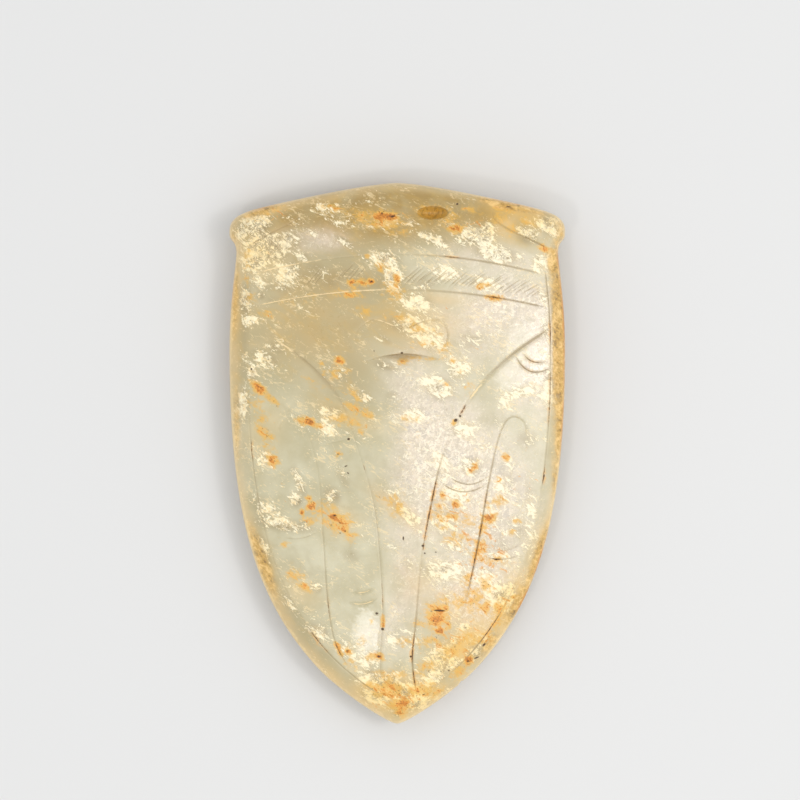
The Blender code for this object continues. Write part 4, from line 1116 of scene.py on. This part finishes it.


# %% [markdown]
# ## The stone
# Nephrite is a felt of fine fibres, so light soaks in a little before it comes back: the shader has some
# subsurface scattering, a low roughness for the worn polish, and a colour built in layers, one in each
# cell. First comes the clear celadon body with its slow clouds. Then the milky veils with a painted glow
# where the stone is thin, the chalky flecks that lean to the lower right like the stone's grain, the russet
# that grades from honey to nearly black, the amber band along the rim with painted light and a painted
# highlight at its edge, and last painted shade and soil in the cuts, and the specks.

# %% The colours of the stone
CELADON_DEEP = (0.500, 0.440, 0.262)
CELADON_PALE = (0.640, 0.588, 0.405)
HONEY = (0.365, 0.230, 0.058)
SMOKE = (0.425, 0.362, 0.200)
WISP = (0.640, 0.410, 0.110)
VEIL = (0.800, 0.668, 0.520)
VEIL_SHADE = (0.630, 0.532, 0.405)
CHALK_GOLD = (0.680, 0.455, 0.190)
CHALK_CREAM = (0.900, 0.700, 0.380)
CHALK_WHITE = (1.000, 0.885, 0.610)
PALE_FLECK = (0.980, 0.870, 0.670)
# Painted glow of thin stone, with yellow stain.
GLOW = (0.800, 0.490, 0.130)
GLOW_CREAM = (0.980, 0.720, 0.290)
GREY_PATCH = (0.500, 0.440, 0.350)
# Painted glow along the rim.
PAINTED_RIM_GLOW = (0.740, 0.555, 0.300)
GREY_SHADE = (0.350, 0.272, 0.140)
CRACKLE = (0.170, 0.105, 0.038)
SOIL = (0.070, 0.032, 0.009)
SOIL_RED = (0.270, 0.120, 0.028)
# Painted shade for the cuts.
CUT_SHADE = (0.330, 0.232, 0.105)
BAND_GOLD = (0.900, 0.600, 0.230)
BAND_AMBER = (0.620, 0.370, 0.090)
BAND_DARK = (0.230, 0.115, 0.022)
# Painted highlight along the rim's edge.
PAINTED_EDGE_HIGHLIGHT = (0.940, 0.720, 0.380)
BAND_RUSSET = (0.600, 0.240, 0.030)
PIT_AMBER = (0.600, 0.340, 0.060)
AMBER = (0.760, 0.430, 0.070)
RUSSET_STOPS = [
    (0.00, (0.930, 0.640, 0.280)), (0.22, (0.850, 0.430, 0.085)), (0.45, (0.700, 0.240, 0.020)),
    (0.72, (0.380, 0.110, 0.009)), (1.00, (0.085, 0.026, 0.005)),
]

# %% Start the material and read the maps
GRAIN_TURN = math.radians(-33)
FIBRE_TURN = math.radians(80)


def fleck(noise_value, density, rarest, commonest, softness):
    """1 inside flecks, which grow from rare to common as the density goes from 0 to 1."""
    limit = rarest - density * (rarest - commonest)
    inputs = {"Value": noise_value, "From Min": limit, "From Max": limit + softness}
    return Value.node("ShaderNodeMapRange", {"interpolation_type": "SMOOTHSTEP"}, inputs)


def turned(turn, stretch):
    """The place in millimetres, in axes that are turned, with the first of them stretched."""
    inputs = {"Vector": spot, "Rotation": (0, 0, turn), "Scale": (stretch, 1.0, 1.0)}
    return Value.node("ShaderNodeMapping", {"vector_type": "TEXTURE"}, inputs)


material = bpy.data.materials.new("weathered_jade")
material.use_nodes = True
Value.tree = material.node_tree
shader = material.node_tree.nodes["Principled BSDF"]
metres = Value.node("ShaderNodeTexCoord", output="Object")
spot = Value.node("ShaderNodeVectorMath", {"operation": "SCALE"}, {0: metres, "Scale": 1 / MM})
leaning, streaked, fibres = turned(GRAIN_TURN, 2.0), turned(GRAIN_TURN * 0.8, 2.4), turned(FIBRE_TURN, 4.0)
# From here on, each name stands for its map as the material reads it.
chalk, russet, warm, milk = map(attribute, ("chalk", "russet", "warm", "milk"))
gloss, glow, rim_stain, rust = map(attribute, ("gloss", "glow", "rim_stain", "rust"))
cuts, worn, halo, dirt = map(attribute, ("cuts", "worn", "halo", "dirt"))
cream, specks, pit, rim = map(attribute, ("cream", "specks", "pit", "rim"))
print(f"the material reads {len(maps)} maps")

# %% The clear body, with honey, smoke and wisps
slow, middling, small = clouds(spot, 7.0, 2), clouds(spot, 2.2, 4), clouds(spot, 0.7, 4)
tiny = clouds(spot, 0.20, 3, 0.6)
smoke = clouds(spot, 3.6, 4, 0.55, 0.6)
body = mix(CELADON_DEEP, CELADON_PALE, (slow * 0.7 + middling * 0.6 + milk * 0.3).step(0.45, 0.95))
body = mix(body, HONEY, (warm * (middling * 1.4 + 0.15)).at_most(0.9))
body = mix(body, SMOKE, smoke.step(0.50, 0.72) * 0.45)
wisps = clouds(leaning, 1.9, 6, 0.62, 1.2)
body = mix(body, WISP, wisps.step(0.48, 0.72) * (warm * 0.7 + 0.05).at_most(0.36))
print(f"{len(Value.tree.nodes)} nodes, with the clear body")

# %% The milky veil, the painted glow and the pale streaks
fibre = clouds(fibres, 0.35, 3, 0.6)
patches = clouds(spot, 1.3, 6, 0.6, 0.8)
veil = mix(VEIL_SHADE, VEIL, (fibre * 0.25 + patches * 0.85).step(0.46, 0.66))
body = mix(body, veil, (milk * (middling + 0.30)).step(0.08, 0.75) * 0.88)
body = mix(body, GREY_PATCH, patches.step(0.53, 0.61) * milk.step(0.3, 0.8) * 0.60)
# Painted glow where the stone is thin, with its yellow stain.
body = mix(body, GLOW, (glow * (middling * 1.2 + 0.35)).at_most(0.9))
streaks = clouds(streaked, 0.42, 6, 0.70, 1.3)
cluster = clouds(leaning, 2.6, 2).step(0.30, 0.70)
body = mix(body, CHALK_CREAM, (streaks + cluster * 0.12 - 0.03).step(0.60, 0.66) * 0.50)
creases = clouds(spot, 0.55, 5, 0.68, 0.9)
net = 1 - (creases - 0.43).math("ABSOLUTE").step(0.0, 0.036)
body = mix(body, PALE_FLECK, net * (milk + (small - 0.5)).step(0.30, 0.80) * 0.70)
body = mix(body, GREY_SHADE, chalk.step(0.15, 0.7) * (middling * 1.3 + 0.1).at_most(0.9) * 0.9)
pale = fleck(clouds(spot, 0.45, 7, 0.72, 0.7), milk, 0.74, 0.50, 0.05)
body = mix(body, PALE_FLECK, pale * 0.70)
print(f"{len(Value.tree.nodes)} nodes, with the veils and streaks")

# %% Chalky flecks and crust
density = (chalk + cluster * 0.40 + milk * 0.12 + russet * 0.25 - gloss * 0.15).at_most(1.0)
ragged = clouds(leaning, 0.62, 8, 0.76, 0.8)
scattered = clouds(leaning, 0.30, 5, 0.70, 0.5)
bleached = (density + ragged.swing(1.2)).step(0.45, 0.95)
body = mix(body, CHALK_CREAM, bleached * 0.42)
flecks = fleck(ragged, density, 0.69, 0.42, 0.03).at_least(fleck(scattered, density, 0.71, 0.49, 0.04))
chalk_light = scattered + small * 0.5 + tiny.swing(0.5) + milk * 0.16 - 0.06
chalk_colour = mix(CHALK_GOLD, CHALK_CREAM, chalk_light.step(0.36, 0.56))
chalk_colour = mix(chalk_colour, CHALK_WHITE, chalk_light.step(0.56, 0.76))
chalk_colour = mix(chalk_colour, PALE_FLECK, (milk * 0.8).at_most(0.6))
# The chalk takes the painted glow as well.
chalk_colour = mix(chalk_colour, GLOW_CREAM, (glow * 1.2).at_most(0.8))
flecks = flecks * (1 - worn * 0.8)
colour = mix(body, chalk_colour, flecks * (0.70 + tiny * 0.6).at_most(1.0))
crusty = (chalk + small.swing(0.8)).step(0.50, 0.85)
crackle = (1 - (creases - 0.5).math("ABSOLUTE").step(0.01, 0.085)) * crusty
grit = clouds(spot, 0.21, 4, 0.6).step(0.60, 0.66) * crusty
colour = mix(colour, CRACKLE, (crackle * 0.62).at_least(grit * 0.40))
print(f"{len(Value.tree.nodes)} nodes, with the chalk and its crackle")

# %% The colours of the rust
ragged_rust = clouds(leaning, 0.6, 7, 0.68, 0.8)
rusty = fleck(ragged_rust, rust, 0.72, 0.48, 0.06)
core = fleck(ragged_rust, russet, 0.70, 0.27, 0.12)
veil_of_rust = (russet + (small - 0.5) + ragged_rust.swing(1.3)).step(0.14, 0.60)
colour = mix(colour, AMBER, veil_of_rust * russet.step(0.03, 0.2) * 0.85)
core_depth = core * (russet * 0.60 + tiny.swing(1.1) + ragged_rust.swing(1.5))
depth = core_depth.at_least(rusty * (small * 0.9 - 0.05))
stain_colour = Value.node("ShaderNodeValToRGB", {"stops": RUSSET_STOPS}, {0: depth})
stain = core.at_least(rusty * 0.75)
colour = mix(colour, stain_colour, stain * 0.85)
pepper = clouds(spot, 0.22, 3, 0.5).step(0.62, 0.68) * (russet + rust * 0.3).step(0.3, 0.8)
colour = mix(colour, RUSSET_STOPS[4][1], pepper * 0.70)
print(f"{len(Value.tree.nodes)} nodes, with the russet")

# %% The rim, with painted light and a painted highlight, and the pit
# Painted light: the stone turns paler and warmer towards the rim, as if light glowed through the thin edge.
colour = mix(colour, PAINTED_RIM_GLOW, (rim + middling.swing(0.5)).step(0.30, 0.90) * 0.45)
band_light = middling * 0.35 + small * 0.45 + scattered * 0.6
band_colour = mix(BAND_DARK, BAND_AMBER, band_light.step(0.54, 0.68))
band_colour = mix(band_colour, BAND_GOLD, band_light.step(0.67, 0.82))
band_share = rim.step(0.0, 0.25) * (rim_stain * (small * 1.1 + middling * 0.5 + 0.1)).step(0.15, 0.60)
colour = mix(colour, band_colour, band_share * 0.88)
# Painted highlight: a thin gold line along the outline, where the rounded rim catches the light, turning to
# real russet where the rim is stained.
edge_highlight = (rim + small.swing(0.30)).step(0.80, 0.93)
edge_russet = (rim_stain * (tiny * 0.9 + middling * 0.9 - 0.1)).step(0.30, 0.85)
highlight_and_russet = mix(PAINTED_EDGE_HIGHLIGHT, BAND_RUSSET, edge_russet)
colour = mix(colour, highlight_and_russet, edge_highlight * (0.35 + rim_stain * 0.5).at_most(0.9))
colour = mix(colour, PIT_AMBER, pit.step(0.0, 0.45) * (0.65 + tiny * 0.4).at_most(0.95))
colour = mix(colour, SOIL, pit.step(0.05, 0.5) * fibre.step(0.52, 0.60) * 0.34)
print(f"{len(Value.tree.nodes)} nodes, with the rim and the pit")

# %% Painted shade, soil and cream in the cuts, and the specks
# Painted shade: the cuts are darkened by their depth, less where cream fills them.
colour = mix(colour, CUT_SHADE, worn.step(0.20, 0.85) * (0.64 - cream * 0.8).at_least(0))
chalky = (cuts + (small - 0.5) + tiny.swing(0.8)).step(0.55, 0.80) * cuts.step(0.2, 0.5)
colour = mix(colour, CHALK_CREAM, chalky * (cream + (small - 0.5)).step(0.3, 0.7) * 0.85)
seeping = (dirt + middling.swing(0.8)).step(0.45, 0.95)
seeped = (halo * 0.8 + small.swing(1.8)).step(0.48, 0.85) * seeping
colour = mix(colour, RUSSET_STOPS[1][1], seeped * 0.55)
filled = (cuts * 0.8 + (small - 0.5) + tiny.swing(0.9)).step(0.48, 0.72)
soil = filled * cuts.step(0.1, 0.5) * (dirt + middling.swing(0.9)).step(0.40, 0.80)
colour = mix(colour, mix(SOIL_RED, SOIL, (tiny * 0.8 + small * 0.6).step(0.55, 0.85)), soil * 0.88)
colour = mix(colour, SOIL, specks.step(0.40, 0.80) * 0.95)
print(f"{len(Value.tree.nodes)} nodes, with the cuts and the specks")

# %% Polish and bump
NEPHRITE = {
    "IOR": 1.61, "Specular IOR Level": 0.38, "Subsurface Weight": 0.15,
    "Subsurface Radius": (1.0, 0.9, 0.7), "Subsurface Scale": 0.35 * MM,
}
dull = (flecks * 0.5 + stain * 0.25 + specks * 0.5 + cuts * 0.2).at_most(1.0)
polish = (gloss + ragged.swing(1.6)).step(0.30, 0.55)
roughness = 0.33 - polish * 0.13 + dull * 0.30 + small.swing(0.12)
bump_height = flecks * 0.9 + tiny * 0.6 - crackle * 0.9 - grit * 0.6 + patches * 0.6
bump = Value.node("ShaderNodeBump", {}, {"Height": bump_height, "Strength": 0.5, "Distance": 0.03 * MM})
for name, value in (("Base Color", colour), ("Roughness", roughness), ("Normal", bump)):
    Value.tree.links.new(value.socket, shader.inputs[name])
for name, value in NEPHRITE.items():
    shader.inputs[name].default_value = value
piece_mesh.materials.clear()
piece_mesh.materials.append(material)
print(f"the material has {len(Value.tree.nodes)} nodes")

# %% [markdown]
# ## Floor, light and camera
# The cicada lies on a pale board under soft light. The camera looks straight down through a long lens.
# One lamp stands to the right, where its reflection makes the glint on the right wing, and a smaller one
# on the left behind the tail gives the silvery patch there. A broad, weak lamp on the right softens the
# first one's glint.

# %% The floor
def plain_material(name, colour, roughness):
    material = bpy.data.materials.new(name)
    material.use_nodes = True
    shader = material.node_tree.nodes["Principled BSDF"]
    shader.inputs["Base Color"].default_value = (*colour, 1)
    shader.inputs["Roughness"].default_value = roughness
    return material


FLOOR_SIZE = 3.0
ground = bmesh.new()
bmesh.ops.create_grid(ground, x_segments=1, y_segments=1, size=FLOOR_SIZE / 2)
floor_mesh = bpy.data.meshes.new("floor")
ground.to_mesh(floor_mesh)
ground.free()
floor_mesh.materials.append(plain_material("pale_board", (0.72, 0.71, 0.69), 0.7))
floor = bpy.data.objects.new("floor", floor_mesh)
bpy.context.scene.collection.objects.link(floor)
floor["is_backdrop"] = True

# %% The camera
PHOTO_SIZE = 800
VIEW_WIDTH = PHOTO_SIZE * PIXEL
VIEW_MIDDLE = seen_at(PHOTO_SIZE / 2, PHOTO_SIZE / 2)
AIM_HEIGHT = 6 * MM
CAMERA_DISTANCE = 0.6
SENSOR = 36.0

camera_data = bpy.data.cameras.new("camera")
camera_data.sensor_width = SENSOR
camera_data.lens = SENSOR * CAMERA_DISTANCE / VIEW_WIDTH
camera = bpy.data.objects.new("camera", camera_data)
camera.location = (*VIEW_MIDDLE, AIM_HEIGHT + CAMERA_DISTANCE)
bpy.context.scene.collection.objects.link(camera)
bpy.context.scene.camera = camera
print(f"the lens is {camera_data.lens:.0f} mm long")

# %% The lamps
def lamp(name, where, size, watts):
    """A square lamp that faces the middle of the cicada."""
    data = bpy.data.lights.new(name, "AREA")
    data.size = size
    data.energy = watts
    light = bpy.data.objects.new(name, data)
    light.location = where
    light.rotation_euler = (-Vector(where)).to_track_quat("-Z", "Y").to_euler()
    bpy.context.scene.collection.objects.link(light)


DAYLIGHT = (0.95, 0.97, 1.0, 1)
DAYLIGHT_STRENGTH = 0.90
lamp("right_lamp", where=(0.232, -0.010, 0.42), size=0.08, watts=0.20)
lamp("tail_lamp", where=(-0.132, -0.142, 0.42), size=0.045, watts=0.160)
lamp("broad_lamp", where=(0.28, -0.04, 0.50), size=0.36, watts=0.6)
world = bpy.data.worlds.new("room")
world.use_nodes = True
background = world.node_tree.nodes["Background"]
background.inputs["Color"].default_value = DAYLIGHT
background.inputs["Strength"].default_value = DAYLIGHT_STRENGTH
bpy.context.scene.world = world
bpy.context.scene.view_settings.view_transform = "Standard"

# %% Compare the sizes and finish
low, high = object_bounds()
growth = [round((new - old) / MM, 3) for new, old in zip((*low, *high), (*cad_low, *cad_high))]
print("grown by (mm)", growth)
